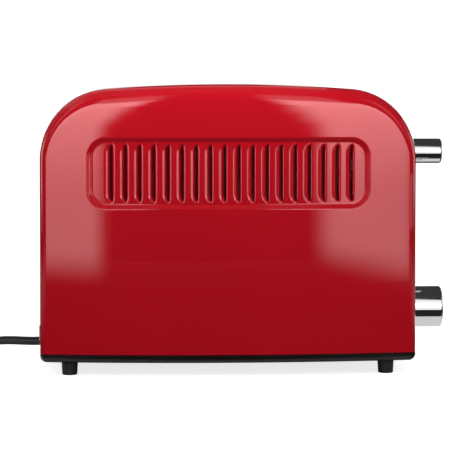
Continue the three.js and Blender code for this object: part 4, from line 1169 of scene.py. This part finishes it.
@dataclass(frozen=True)
class PressedSide:
    """One pressed long side with its sunk field of louvres, built facing the front.

    A louvre falls by lead_slope from its lip, and less by lead_drift for each metre to the right. From
    plunge_start on it falls steeply down to its slit. louvre_columns says where the sheet is divided across
    it, in millimetres from its left edge.
    """

    wall: float = 1.0 * MM
    field_half: float = 96 * MM
    field_bottom: float = 113.9 * MM
    field_top: float = 162.3 * MM
    field_corner: float = 13 * MM
    field_depth: float = 2.5 * MM
    field_wall: float = 3.0 * MM
    louvres: int = 18
    pitch: float = 9.6 * MM
    width: float = 5.7 * MM
    slit: float = 0.8 * MM
    louvre_bottom: float = 119.0 * MM
    louvre_top: float = 157.2 * MM
    lip: float = 1.2 * MM
    lead_slope: float = 0.255
    lead_drift: float = 1.0
    plunge_start: float = 2.3 * MM
    plunge_blend: float = 0.6 * MM
    plunge_slope: float = 1.3
    louvre_end: float = 5 * MM
    lip_roll: float = 0.25 * MM
    fillet_steps: int = 10
    field_soft: float = 0.2
    louvre_columns: tuple[float, ...] = (-0.6, 0, 0.4, 0.8, 1.2, 1.35, 2.15, 2.3, 2.6, 2.9, 3.05, 4.0)
    fine_step: float = 0.6 * MM
    row_step: float = 5.2 * MM
    corner_rows: float = 13.4 * MM
    top_rows: int = 9

    @property
    def field_middle(self) -> float:
        """The height of the field's middle."""
        return (self.field_bottom + self.field_top) / 2

    def louvre_starts(self) -> list[float]:
        """The left edge of each louvre."""
        first = (-(self.louvres - 1) * self.pitch - self.width) / 2
        return [first + k * self.pitch for k in range(self.louvres)]

    def columns(self) -> list[float]:
        """Places along the side where the sheet is divided, close together at the louvres and corners.

        Returns:
            The places in order.
        """
        kept = set()
        for start in self.louvre_starts():
            edge = start + self.width
            kept.update(start + step * MM for step in self.louvre_columns)
            kept.update((edge - self.slit, edge, edge + 0.6 * MM, edge + 1.6 * MM))
        loose = [OUTLINE.face_edge(OUTLINE.corner_station(1, step / 28)).x for step in range(29)]
        place = self.field_half + self.fine_step
        while place > self.field_half - self.field_corner:
            loose.append(place)
            place -= self.fine_step
        for x in loose:
            for signed in (x, -x):
                if all(abs(signed - other) > 0.35 * MM for other in kept):
                    kept.add(signed)
        edge = OUTLINE.face_half
        kept = {x for x in kept if abs(x) < edge - 0.2 * MM}
        return sorted(kept | {-edge, edge})

    def rows(self) -> tuple[list[float], list[float]]:
        """Heights where the sheet is divided up to over the field, and shares of the rest up to the crown.

        Returns:
            The heights and the shares, each in order.
        """
        heights = [OUTLINE.bottom + step * self.row_step for step in range(19)]
        place = self.field_bottom - self.fine_step
        while place < self.field_bottom + self.corner_rows:
            heights.append(place)
            place += self.fine_step if place < self.field_bottom + 3.5 * MM else 0.8 * MM
        middle = self.field_middle
        mirrored = [2 * middle - height for height in heights if height > self.field_bottom - MM]
        heights += [middle - 6 * MM, middle, middle + 6 * MM] + mirrored
        return sorted(heights), [share / self.top_rows for share in range(1, self.top_rows + 1)]

    def field_share(self, x: float, z: float) -> float:
        """How deep in the sunk field a point lies, from 0 outside to 1 on its floor.

        The wall is a straight ramp, rounded over field_soft of its width at either edge.

        Args:
            x: The point's place along the side.
            z: Its height.

        Returns:
            The share of the field's depth.
        """
        half_height = (self.field_top - self.field_bottom) / 2
        dx = abs(x) - self.field_half + self.field_corner
        dz = abs(z - self.field_middle) - half_height + self.field_corner
        distance = math.hypot(max(dx, 0), max(dz, 0)) + min(max(dx, dz), 0) - self.field_corner
        run = min(max(-distance / self.field_wall, 0.0), 1.0)
        soft = self.field_soft
        slope = 1 / (1 - soft)
        if run < soft:
            return slope * run * run / (2 * soft)
        if run > 1 - soft:
            return 1 - slope * (1 - run) ** 2 / (2 * soft)
        return slope * (run - soft / 2)

    def fall(self, run: float, start_x: float) -> float:
        """How deep a louvre lies at a run from its lip: a gentle lead and then a steep plunge.

        Args:
            run: The distance from the lip.
            start_x: The place of the louvre's left edge.

        Returns:
            The depth.
        """
        slope = self.lead_slope - self.lead_drift * start_x
        gentle = slope * (run - self.lip / 2 if run > self.lip else run * run / (2 * self.lip))
        start, end = self.plunge_start, self.plunge_start + self.plunge_blend
        if run <= start:
            return gentle
        blend = self.plunge_blend
        if run < end:
            return gentle + self.plunge_slope * (run - start) ** 2 / (2 * blend)
        return gentle + self.plunge_slope * (run - start - blend / 2)

    def scoop(self, x: float, z: float) -> float:
        """How far a louvre is pressed in at a point, and the rolled lip across its slit.

        Args:
            x: The point's place along the side.
            z: Its height.

        Returns:
            The depth, or 0 beside the louvres.
        """
        rise = min(z - self.louvre_bottom, self.louvre_top - z)
        if rise <= 0:
            return 0.0
        end = min(rise / self.louvre_end, 1.0)
        end_share = math.sqrt(1 - (1 - end) ** 2)
        for start in self.louvre_starts():
            edge = start + self.width
            if not start < x <= edge + 0.01 * MM:
                continue
            if x > edge - self.slit / 2:
                return self.lip_roll * end_share
            deep = edge - self.slit
            near = deep - (deep - start) * end_share
            run = min(max(x - near, 0.0) / max(deep - near, 1e-9), 1.0) * (deep - start)
            return self.fall(run, start) * end_share
        return 0.0

    def sheet(self) -> BMesh:
        """The outer surface of the pressed side, from its lower edge over the fillets to its flange.

        Returns:
            The open sheet, facing the front.
        """
        columns = self.columns()
        low_rows, shares = self.rows()
        inner = [OUTLINE.station_over(x) for x in columns[1:-1]]
        stations = [OUTLINE.corner_station(-1, 0.0), *inner, OUTLINE.corner_station(1, 0.0)]
        tops = [OUTLINE.face_edge(station).z for station in stations]
        field_side = self.field_half + 2 * MM
        full_top = OUTLINE.face_edge(OUTLINE.station_over(field_side)).z
        base = OUTLINE.bottom

        def place(i: int, j: int) -> Vector:
            """A point of the sheet by its column and row."""
            x, top = columns[i], tops[i]
            squeeze = min(1.0, (top - base) / (full_top - base)) if abs(x) > field_side else 1.0
            if j < len(low_rows):
                z = base + (low_rows[j] - base) * squeeze
            else:
                last = base + (low_rows[-1] - base) * squeeze
                z = last + (top - last) * shares[j - len(low_rows)]
            share = self.field_share(x, z)
            depth = self.field_depth * share + (self.scoop(x, z) if share > 0.99 else 0.0)
            return Vector((x, depth - OUTLINE.reach(x), z))

        bm = mapped_grid(len(columns), len(low_rows) + len(shares), place)
        self.open_slits(bm)
        self.fold_edges(bm, {round(x, 7): station for x, station in zip(columns, stations)})
        return bm

    def open_slits(self, bm: BMesh) -> None:
        """Takes out the strip between each louvre's deep edge and the lip across it.

        Args:
            bm: The sheet.
        """
        spans = [(start + self.width - self.slit, start + self.width) for start in self.louvre_starts()]
        low, high = self.louvre_bottom + 0.3 * MM, self.louvre_top - 0.3 * MM
        gone = []
        for face in bm.faces:
            middle = face.calc_center_median()
            if low < middle.z < high and any(a < middle.x < b for a, b in spans):
                gone.append(face)
        bmesh.ops.delete(bm, geom=gone, context="FACES")

    def fold_edges(self, bm: BMesh, stations: dict[float, Station]) -> None:
        """Folds the two uprights and the top over their fillets and on to the flange.

        Args:
            bm: The sheet.
            stations: The outline's station over each column.
        """
        def upright(vert: BMVert) -> bool:
            """Whether a point lies on one of the sheet's uprights."""
            return abs(abs(vert.co.x) - OUTLINE.face_half) < NEAR

        def at_rim(vert: BMVert) -> bool:
            """Whether a point lies on an upright or the top edge of the sheet."""
            top = OUTLINE.face_edge(stations[round(vert.co.x, 7)])
            return upright(vert) or abs(vert.co.z - top.z) < NEAR

        strip = [e for e in bm.edges if e.is_boundary and all(at_rim(v) for v in e.verts)]
        home = {}
        for vert in (vert for e in strip for vert in e.verts):
            side = -1 if vert.co.x < 0 else 1
            foot = OUTLINE.foot_station(side, vert.co.z)
            home[vert] = foot if upright(vert) else stations[round(vert.co.x, 7)]
        angles = [math.pi / 2 * (1 - step / self.fillet_steps) for step in range(1, self.fillet_steps + 1)]
        targets: list[Callable[[Station], Vector]] = [lambda s, a=a: self.fillet_point(s, a) for a in angles]
        targets += [lambda s, share=share: self.flange_point(s, share) for share in (0.35, 0.75, 1.0)]
        for target in targets:
            made = bmesh.ops.extrude_edge_only(bm, edges=strip)["geom"]
            fresh = [item for item in made if isinstance(item, BMVert)]
            lines = [item for item in made if isinstance(item, BMEdge)]
            known = {}
            for old in home:
                for line in old.link_edges:
                    other = line.other_vert(old)
                    if other in fresh and (other.co - old.co).length < 1e-9:
                        known[other] = home[old]
            for vert, station in known.items():
                vert.co = target(station)
            home = known
            strip = [line for line in lines if all(v in known for v in line.verts)]
        face_along(bm, (0, -1, 0))

    def fillet_point(self, station: Station, angle: float) -> Vector:
        """A point of the fillet: pi / 2 is on the long side and 0 on the outline.

        Args:
            station: The station that it lies at.
            angle: Its angle round the fillet.

        Returns:
            The point.
        """
        radius = OUTLINE.fillet(station.top_share)
        point = station.inset(radius * (1 - math.cos(angle)), 0)
        point.y = radius * (1 - math.sin(angle)) - OUTLINE.reach(point.x)
        return point

    def flange_point(self, station: Station, share: float) -> Vector:
        """A point between the end of the fillet and the flange's edge.

        Args:
            station: The station that it lies at.
            share: 0 at the fillet and 1 at the flange's edge.

        Returns:
            The point.
        """
        point = self.fillet_point(station, 0.0)
        point.y += (-OUTLINE.flange_edge - point.y) * share
        return point

    def build(self) -> None:
        """Makes the front side and the rear side, which is the same pressing turned round."""
        for name, turn in (("front", 0.0), ("rear", math.pi)):
            piece = Piece(f"{name}_side", self.sheet(), math.radians(50))
            piece.sheet(self.wall).place(turn).dress(RED_ENAMEL, "housing", [f"{name}_shell"])


# Ends and deck


@dataclass(frozen=True)
class EndPanels:
    """The two end panels, which bulge a little between the pressed sides."""

    thickness: float = 2.0 * MM
    corner_steps: int = 30
    upright_steps: int = 30
    across_steps: int = 28
    tray_bottom: float = 20.3 * MM
    tray_top: float = 31.7 * MM
    tray_half: float = 46.9 * MM
    trough_radius: float = 4.7 * MM
    trough_height: float = 14.4 * MM
    slot_half: float = 2.5 * MM
    slot_bottom: float = 66.5 * MM
    slot_top: float = 157.5 * MM
    shaft_radius: float = 3.5 * MM
    shaft_height: float = 38.2 * MM
    button_radius: float = 3.8 * MM
    button_height: float = 60 * MM
    button_spacing: float = 20 * MM
    cut_end: float = 140 * MM

    def stations(self) -> list[Station]:
        """The outline up one end and over its corner, a gap short of the deck.

        Returns:
            The stations in order.
        """
        rise = OUTLINE.corner_z - OUTLINE.bottom
        steps = self.upright_steps
        upright = [OUTLINE.foot_station(1, OUTLINE.bottom + rise * k / steps) for k in range(steps)]
        last = 1 - PANEL_GAP / OUTLINE.corner_radius / (math.pi / 2 - OUTLINE.crown_angle)
        shares = [last * k / self.corner_steps for k in range(self.corner_steps + 1)]
        return upright + [OUTLINE.corner_station(1, share) for share in shares]

    def strip(self) -> BMesh:
        """The outer surface of a panel on the controls' end.

        Returns:
            The open surface, facing the right.
        """
        stations = self.stations()
        half = OUTLINE.flange_edge - PANEL_GAP

        def place(i: int, j: int) -> Vector:
            """A point of the panel by its column and row."""
            y = half * (2 * i / self.across_steps - 1)
            station = stations[j]
            return station.inset(-OUTLINE.bulge(y) * (1 - station.top_share), y)

        bm = mapped_grid(self.across_steps + 1, len(stations), place)
        face_along(bm, (1, 0, 0))
        return bm

    def hole(self, radius: float, y: float, z: float) -> BMesh:
        """A round cutter through an end.

        Args:
            radius: Its radius.
            y: Its place across the end.
            z: Its height.

        Returns:
            The closed cutter.
        """
        start, end = 116 * MM, self.cut_end
        profile = [(0, start), (radius, start), (radius, end), (0, end)]
        return turned(profile, Axis.X, Vector((0, y, z)), 40)

    def window(self, start: float, half: float, heights: Pair, radius: float, steps: int) -> BMesh:
        """A square cutter through an end, from a place along X.

        Args:
            start: Where it starts.
            half: Half its width.
            heights: Its bottom and top.
            radius: The rounding of its edges.
            steps: The steps of the rounding.

        Returns:
            The closed cutter.
        """
        low, high = heights
        return rounded_box(Vector((start, -half, low)), Vector((self.cut_end, half, high)), radius, steps)

    def control_end(self) -> None:
        """The end that the lever, the knob and the buttons stand out of."""
        slot = self.window(100 * MM, self.slot_half, (self.slot_bottom, self.slot_top), 1.4 * MM, 4)
        holes = [slot, self.hole(self.shaft_radius, 0, self.shaft_height)]
        for k in (-1, 0, 1):
            holes.append(self.hole(self.button_radius, k * self.button_spacing, self.button_height))
        piece = Piece("control_end", self.strip()).sheet(self.thickness).cut(holes).place()
        piece.dress(RED_ENAMEL, "housing", ["control_end_panel"])

    def cord_end(self) -> None:
        """The end with the crumb tray's front and the cord's exit."""
        tray = self.window(110 * MM, self.tray_half, (self.tray_bottom, self.tray_top), 1.2 * MM, 3)
        trough = self.hole(self.trough_radius, 0, self.trough_height)
        piece = Piece("cord_end", self.strip()).sheet(self.thickness).cut([tray, trough]).place(math.pi)
        piece.dress(RED_ENAMEL, "housing", ["cord_end_panel"])

    def build(self) -> None:
        """Makes both ends."""
        self.control_end()
        self.cord_end()

@dataclass(frozen=True)
class Deck:
    """The arched steel deck with its two bread slots and their collars."""

    thickness: float = 1.2 * MM
    slot_half_length: float = 70 * MM
    slot_half_width: float = 15 * MM
    slot_x: float = -2 * MM
    slot_y: float = 24 * MM
    slot_corner: float = 6 * MM
    collar_wall: float = 1 * MM
    collar_bottom: float = 186.4 * MM
    along_steps: int = 48
    across_steps: int = 12
    between_steps: int = 16
    under: float = 0.05 * MM
    roll: tuple[Pair, ...] = ((0.0, 0.8), (0.12, 0.3), (0.45, 0.0), (0.9, 0.1), (1.0, 0.6))

    def surface(self, x: float) -> float:
        """The height of the deck's top at x."""
        centre = OUTLINE.height - OUTLINE.crown_radius
        return centre + math.sqrt(OUTLINE.crown_radius**2 - x * x)

    def plate(self) -> BMesh:
        """The arched plate without its slots.

        Returns:
            The open surface, facing up.
        """
        half = OUTLINE.flange_edge - PANEL_GAP
        steps, across = self.along_steps, self.across_steps

        def place(i: int, j: int) -> Vector:
            """A point of the plate by its column and row."""
            return OUTLINE.crown_station(2 * i / steps - 1).inset(0, half * (2 * j / across - 1))

        bm = mapped_grid(steps + 1, across + 1, place)
        face_along(bm, (0, 0, 1))
        return bm

    def ring(self, grow: float, y: float, lift: Callable[[float], float]) -> list[Vector]:
        """The outline of a slot, grown by a wall, at the height that lift gives for each x.

        Args:
            grow: How far it is grown.
            y: The place of the slot's middle.
            lift: Gives the height.

        Returns:
            The points in order.
        """
        outline = rounded_rectangle(
            self.slot_half_length + grow, self.slot_half_width + grow, self.slot_corner + grow, 10
        )
        points = []
        for (x, across), (next_x, _) in zip(outline, outline[1:] + outline[:1]):
            steps = self.between_steps if abs(next_x - x) > 20 * MM else 1
            for step in range(steps):
                along = self.slot_x + x + (next_x - x) * step / steps
                points.append(Vector((along, y + across, lift(along))))
        return points

    def collar(self, y: float) -> BMesh:
        """The upright wall round one slot, with its top edge rolled into the deck.

        roll gives how far each ring of that edge is grown and lowered, in millimetres.

        Args:
            y: The place of the slot's middle.

        Returns:
            The closed wall.
        """
        inner, outer = (self.ring(grow, y, lambda x: self.collar_bottom) for grow in (0.0, self.collar_wall))
        edge = [
            self.ring(grow * MM, y, lambda x, drop=drop: self.surface(x) - self.under - drop * MM)
            for grow, drop in self.roll
        ]
        return closed_tube([inner, *edge, outer, inner], capped=False)

    def build(self) -> None:
        """Makes the plate with its slots, and the two collars."""
        cutters = []
        for _, side in SIDES:
            grow, y = self.collar_wall * 0.98, side * self.slot_y
            cutters.append(closed_tube([self.ring(grow, y, lambda x, z=z: z) for z in (0.18, 0.21)]))
        piece = Piece("top_plate", self.plate()).sheet(self.thickness).cut(cutters).place()
        piece.dress(DECK_STEEL, "housing", ["top_deck"])
        for name, side in SIDES:
            collar = Piece(f"slot_collar_{name}", self.collar(side * self.slot_y)).place()
            collar.dress(DECK_STEEL, "housing", ["top_deck"])


# Base and feet


@dataclass(frozen=True)
class Base:
    """The black base with its rounded lower edge, and the feet."""

    bottom: float = 9.1 * MM
    top: float = 14.8 * MM
    floor: float = 11.6 * MM
    wall: float = 2.5 * MM
    rounding: float = 4.8 * MM
    foot_x: float = 108.6 * MM
    foot_y: float = 64 * MM
    rim: float = 0.3 * MM
    foot_profile: tuple[Pair, ...] = (
        (3.0, 0.0), (4.6, 0.0), (5.0, 0.15), (5.15, 0.6), (5.3, 3.0), (5.45, 6.0), (5.6, 8.3),
        (5.6, 8.6), (5.4, 8.8), (1.8, 8.8), (1.8, 4.0), (3.0, 4.0), (3.0, 0.0),
    )

    def plan(self, inset: float, z: float) -> list[Vector]:
        """The base's outline from above.

        Args:
            inset: How far it is drawn in.
            z: The height of its points.

        Returns:
            Its points in order.
        """
        corner_x, fillet = OUTLINE.face_half, OUTLINE.side_fillet
        corner_y = OUTLINE.reach(corner_x) - fillet
        along = [corner_x * k / 24 for k in range(24)]
        quarter = [(x, inset - OUTLINE.reach(x)) for x in along]
        quarter += arc((corner_x, -corner_y), fillet - inset, -1, 0, 12)
        across = [-OUTLINE.flange_edge * (1 - k / 16) for k in range(16)]
        quarter += [(OUTLINE.half_length + OUTLINE.bulge(y) - inset, y) for y in across]
        end = (OUTLINE.half_length + OUTLINE.end_bulge - inset, 0.0)
        right = [*quarter, end, *((x, -y) for x, y in reversed(quarter))]
        left = [(-x, -y) for x, y in right if x > 1e-9]
        return [Vector((x, y, z)) for x, y in right + left]

    def tub(self) -> BMesh:
        """The floor and wall of the base as one closed shape.

        Returns:
            The closed shape.
        """
        steps = arc((self.rounding, self.bottom + self.rounding), self.rounding, -1, -2, 8)
        steps += [(0.0, self.top - self.rim), (self.rim, self.top)]
        steps += [(self.wall, self.top), (self.wall, self.floor)]
        return closed_tube([self.plan(inset, z) for inset, z in steps])

    def build(self) -> None:
        """Makes the base and its four feet."""
        Piece("base", self.tub(), math.radians(40)).place().dress(BLACK_PLASTIC, "housing", ["base_plate"])
        profile = [(radius * MM, height * MM) for radius, height in self.foot_profile]
        for along, sx in ENDS:
            for across, sy in SIDES:
                centre = Vector((BODY_MIDDLE_X + sx * self.foot_x, sy * self.foot_y, 0))
                node = f"foot_{across}_{along}"
                foot = Piece(f"{node}_pad", turned(profile, Axis.Z, centre, 48))
                foot.dress(FOOT_RUBBER, "housing", [node])


# Controls


@dataclass(frozen=True)
class Controls:
    """The lever's knob, the browning knob and the three keys."""

    tip: float = 157.4 * MM
    lever_radius: float = 9 * MM
    lever_length: float = 22.9 * MM
    lever_height: float = 151 * MM
    browning_radius: float = 15 * MM
    browning_length: float = 23.4 * MM
    browning_height: float = 38.2 * MM
    edge: float = 1.5 * MM
    back_edge: float = 0.4 * MM
    dome: float = 0.5 * MM
    keep: float = 0.12 * MM
    key_radius: float = 3.5 * MM
    key_tip: float = 133.3 * MM
    key_edge: float = 0.6 * MM
    key_keep: float = 0.1 * MM
    key_flange: float = 4.6 * MM
    key_flange_depth: float = 1.5 * MM
    key_height: float = 60 * MM
    key_spacing: float = 20 * MM

    def knob(self, radius: float, length: float, height: float) -> BMesh:
        """A turned knob with rounded rims and a slightly crowned end.

        Args:
            radius: Its radius.
            length: Its length up to the tip.
            height: The height of its middle line.

        Returns:
            The closed knob.
        """
        back, shoulder = self.tip - length, self.tip - self.dome
        edge, rim, keep = self.edge, self.back_edge, self.keep
        profile = [(0.0, back), (radius - rim - keep, back)]
        profile += arc((radius - rim, back + rim), rim, -1, 0, 4)
        profile += [(radius, back + rim + keep), (radius, shoulder - edge - keep)]
        profile += arc((radius - edge, shoulder - edge), edge, 0, 1, 8)
        for share in (1 - k / 8 for k in range(1, 9)):
            profile.append(((radius - edge) * share, self.tip - self.dome * share * share))
        return turned(profile, Axis.X, Vector((BODY_MIDDLE_X, 0, height)), 96)

    def key(self, y: float, back: float) -> BMesh:
        """A turned key with a rounded tip, and a flange inside the panel, where it starts at back.

        Args:
            y: Its place across the end.
            back: Where it starts along X.

        Returns:
            The closed key.
        """
        tip, radius, edge, keep = self.key_tip, self.key_radius, self.key_edge, self.key_keep
        flange, flange_end = self.key_flange, back + self.key_flange_depth
        profile = [(0.0, back), (flange, back), (flange, flange_end), (radius, flange_end)]
        profile += [(radius, tip - edge - keep), *arc((radius - edge, tip - edge), edge, 0, 1, 6)]
        profile += [(radius - edge - keep, tip), (0.0, tip)]
        return turned(profile, Axis.X, Vector((BODY_MIDDLE_X, y, self.key_height)), 48)

    def build(self) -> None:
        """Makes the two knobs and the three keys."""
        lever = self.knob(self.lever_radius, self.lever_length, self.lever_height)
        Piece("lever_grip", lever).dress(CHROME, "carriage", ["lever_knob"])
        browning = self.knob(self.browning_radius, self.browning_length, self.browning_height)
        Piece("browning_grip", browning).dress(CHROME, "browning_control", ["browning_knob"])
        for name, y in (("stop", 0.0), ("defrost", -self.key_spacing), ("reheat", self.key_spacing)):
            low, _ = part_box(f"{name}_button")
            key = self.key(y, low.x - BODY_MIDDLE_X)
            Piece(f"{name}_push", key).dress(CHROME, f"{name}_key", [f"{name}_button"])


# Return spring


@dataclass(frozen=True)
class ReturnSpring:
    """The coil spring round the guide rod, which closes up as the carriage comes down."""

    x: float = 90 * MM
    y: float = 12 * MM
    bottom: float = 17.3 * MM
    top: float = 136.7 * MM
    travel: float = 78 * MM
    coil_radius: float = 4.1 * MM
    wire_radius: float = 0.6 * MM
    turns: float = 20.0
    steps_per_turn: int = 24
    closing: float = 0.12

    def path(self) -> list[Vector]:
        """The wire's centreline, whose turns lie closer by the share of closing at both ends.

        Returns:
            The points from the bottom to the top.
        """
        steps = round(self.turns * self.steps_per_turn)
        low, high = self.bottom + self.wire_radius, self.top - self.wire_radius
        points = []
        for k in range(steps + 1):
            share = k / steps
            angle = math.tau * self.turns * share
            rise = smoothstep(0.0, 1.0, share) * self.closing + share * (1 - self.closing)
            x = BODY_MIDDLE_X + self.x + self.coil_radius * math.cos(angle)
            y = self.y + self.coil_radius * math.sin(angle)
            points.append(Vector((x, y, low + (high - low) * rise)))
        return points

    def build(self) -> None:
        """Winds the spring."""
        piece = Piece("lift_spring", tube_along(self.path(), self.wire_radius, 10), math.radians(60))
        spring = piece.dress(WIRE_STEEL, "housing", ["return_spring"])
        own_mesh(spring)


# Cord


@dataclass(frozen=True)
class Cord:
    """The mains lead: out of its bush, down to the surface, and into a tied coil with its plug beside it."""

    length: float = 950 * MM
    radius: float = 3.1 * MM
    exit_x: float = 132.5 * MM
    turns: float = 4.25
    climb_turns: float = 0.5
    pitch: float = 6.8 * MM
    tail: float = 15 * MM
    height: float = 4.5 * MM
    steps_per_turn: int = 48
    route: tuple[Triple, ...] = (
        (-0.0003, 0, 0.0144), (-0.0065, 0, 0.01445), (-0.0135, 0, 0.0147), (-0.0205, 0, 0.01495),
        (-0.0275, 0, 0.0149), (-0.0345, 0, 0.0141), (-0.0415, 0, 0.0123), (-0.0485, 0, 0.010),
        (-0.0555, 0, 0.0077), (-0.0615, 0, 0.0059), (-0.0665, 0, 0.0048), (-0.0725, 0, 0.0045),
    )
    neck: float = 20 * MM
    neck_radius: float = 4.45 * MM
    neck_growth: float = 1.5 * MM
    groove: float = 0.35 * MM
    case_sections: tuple[Color, ...] = (
        (21.0, 8.5, 7.0, 5.0), (22.5, 11.2, 9.4, 4.6), (24.5, 12.4, 10.9, 4.2), (27.0, 12.5, 11.25, 4.0),
        (36.0, 12.1, 11.2, 4.0), (44.0, 12.3, 11.25, 4.0), (50.6, 12.5, 11.25, 4.0), (51.6, 12.2, 10.9, 3.7),
        (52.0, 11.6, 10.4, 3.3),
    )

    def lead(self) -> list[Vector]:
        """The centreline from the exit to the coil, as a smooth curve through the route's points.

        Returns:
            The points from the exit on.
        """
        start = BODY_MIDDLE_X - self.exit_x
        knots = [Vector((x + start, y, z)) for x, y, z in self.route]
        padded = [2 * knots[0] - knots[1], *knots, 2 * knots[-1] - knots[-2]]
        points = []
        for a, b, c, d in zip(padded, padded[1:], padded[2:], padded[3:]):
            for step in range(6):
                t = step / 6
                square, cube = 2 * a - 5 * b + 4 * c - d, 3 * b - a - 3 * c + d
                points.append((2 * b + (c - a) * t + square * t**2 + cube * t**3) / 2)
        return points + [knots[-1]]

    def path(self) -> list[Vector]:
        """The whole centreline, with the length that the lead leaves wound into the coil.

        Returns:
            The points from the exit to the plug.
        """
        lead = self.lead()
        used = sum((b - a).length for a, b in zip(lead, lead[1:]))
        straight = 2 * self.radius
        turning = self.length - used - straight - self.tail - SEAT_GAP
        outer = turning / (math.tau * self.turns) + self.pitch * self.turns / 4
        centre = Vector((lead[-1].x - SEAT_GAP - straight, outer, self.height))
        climb_start = (self.turns - self.climb_turns) / 2
        steps = round(self.turns * self.steps_per_turn)
        points = lead + [Vector((centre.x + straight, 0, self.height))]
        for k in range(steps + 1):
            turn = self.turns * k / steps
            angle = -math.pi / 2 - math.tau * turn
            radius = outer - self.pitch * min(turn, self.turns - turn)
            climb = smoothstep(climb_start, climb_start + self.climb_turns, turn)
            offset = Vector((radius * math.cos(angle), radius * math.sin(angle), self.pitch * climb))
            points.append(centre + offset)
        return points + [points[-1] + Vector((0, self.tail, 0))]

    def plug(self, start: Vector) -> bpy.types.Object:
        """The moulded plug with its ribbed neck.

        Each of case_sections gives, in millimetres, the place along the plug, half the width, half the height
        and the corner's radius. No section reaches below the surface that the plug lies on.

        Args:
            start: Where the cord runs into it.

        Returns:
            The dressed plug.
        """
        rings = []
        for k in range(25):
            share = k / 24
            groove = self.groove if k % 4 in (2, 3) and 2 < k < 22 else 0.0
            radius = self.neck_radius + self.neck_growth * share - groove
            rings.append(self.plug_ring(start, self.neck * share, radius, radius, radius - self.groove))
        for along, wide, high, corner in self.case_sections:
            height = min(high * MM, start.z - 0.05 * MM)
            rings.append(self.plug_ring(start, along * MM, wide * MM, height, min(corner * MM, height * 0.8)))
        return Piece("plug_case", closed_tube(rings)).dress(CORD_RUBBER, "housing", ["plug_body"])

    def plug_ring(self, start: Vector, along: float, wide: float, high: float, corner: float) -> list[Vector]:
        """A section of the plug at a distance along it."""
        outline = rounded_rectangle(wide, high, corner, 8)
        return [Vector((start.x + x, start.y + along, start.z + z)) for x, z in outline]

    def build(self) -> None:
        path = self.path()
        cord = Piece("mains_cord", tube_along(path, self.radius, 20), math.radians(60))
        cord.dress(CORD_RUBBER, "housing", ["cord_lead", "cord_coil"])
        plug = self.plug(path[-1] + Vector((0, SEAT_GAP, 0)))
        tuple(path[0])
        [tuple(point) for point in path]


# Pieces of the frame that keep their own shape


CARRIED: dict[Finish, tuple[str, ...]] = {
    PLAIN_STEEL: (
        "cord_end_frame", "control_end_frame", "heat_shield_front", "heat_shield_rear", "guide_rod",
        "magnet_core", "carriage_plate", "keeper_plate", "bread_rack_front", "bread_rack_rear", "lever_arm",
        "pot_shaft", "foot_screw_front_left", "foot_screw_front_right", "foot_screw_rear_left",
        "foot_screw_rear_right",
    ),
    WIRE_STEEL: ("guide_front_outer", "guide_front_inner", "guide_rear_inner", "guide_rear_outer"),
    MICA: ("heater_card_front", "heater_card_middle", "heater_card_rear"),
    HEATER_WIRE: ("heater_winding_front", "heater_winding_middle", "heater_winding_rear"),
    COPPER: ("magnet_coil",),
    BOARD: ("control_board",),
    SWITCH_PLASTIC: ("timer_pot", "stop_switch", "defrost_switch", "reheat_switch"),
    TRAY_STEEL: ("crumb_tray",),
    CORD_RUBBER: ("cord_bush",),
    TIE_RUBBER: ("cord_tie",),
    BRASS: ("plug_blade_left", "plug_blade_right"),
}


def dress_carried_nodes() -> None:
    """Gives every node that keeps its own shape its finish."""
    for finish, names in CARRIED.items():
        for name in names:
            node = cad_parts[name]
            node.data.materials.clear()
            node.data.materials.append(finish.material())
            LOG.info("%s keeps its shape and takes %s", name, finish.name)


def main() -> None:
    """Builds the toaster in order."""
    logging.basicConfig(level=logging.INFO, format="%(name)s: %(message)s")
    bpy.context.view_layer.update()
    bpy.context.scene.view_settings.view_transform = "Standard"
    studio = Studio()
    studio.camera()
    Cord().build()
    PressedSide().build()
    EndPanels().build()
    Deck().build()
    Base().build()
    Controls().build()
    ReturnSpring().build()
    dress_carried_nodes()
    studio.world()
    studio.floor()
    studio.light()


if __name__ == "__main__":
    main()
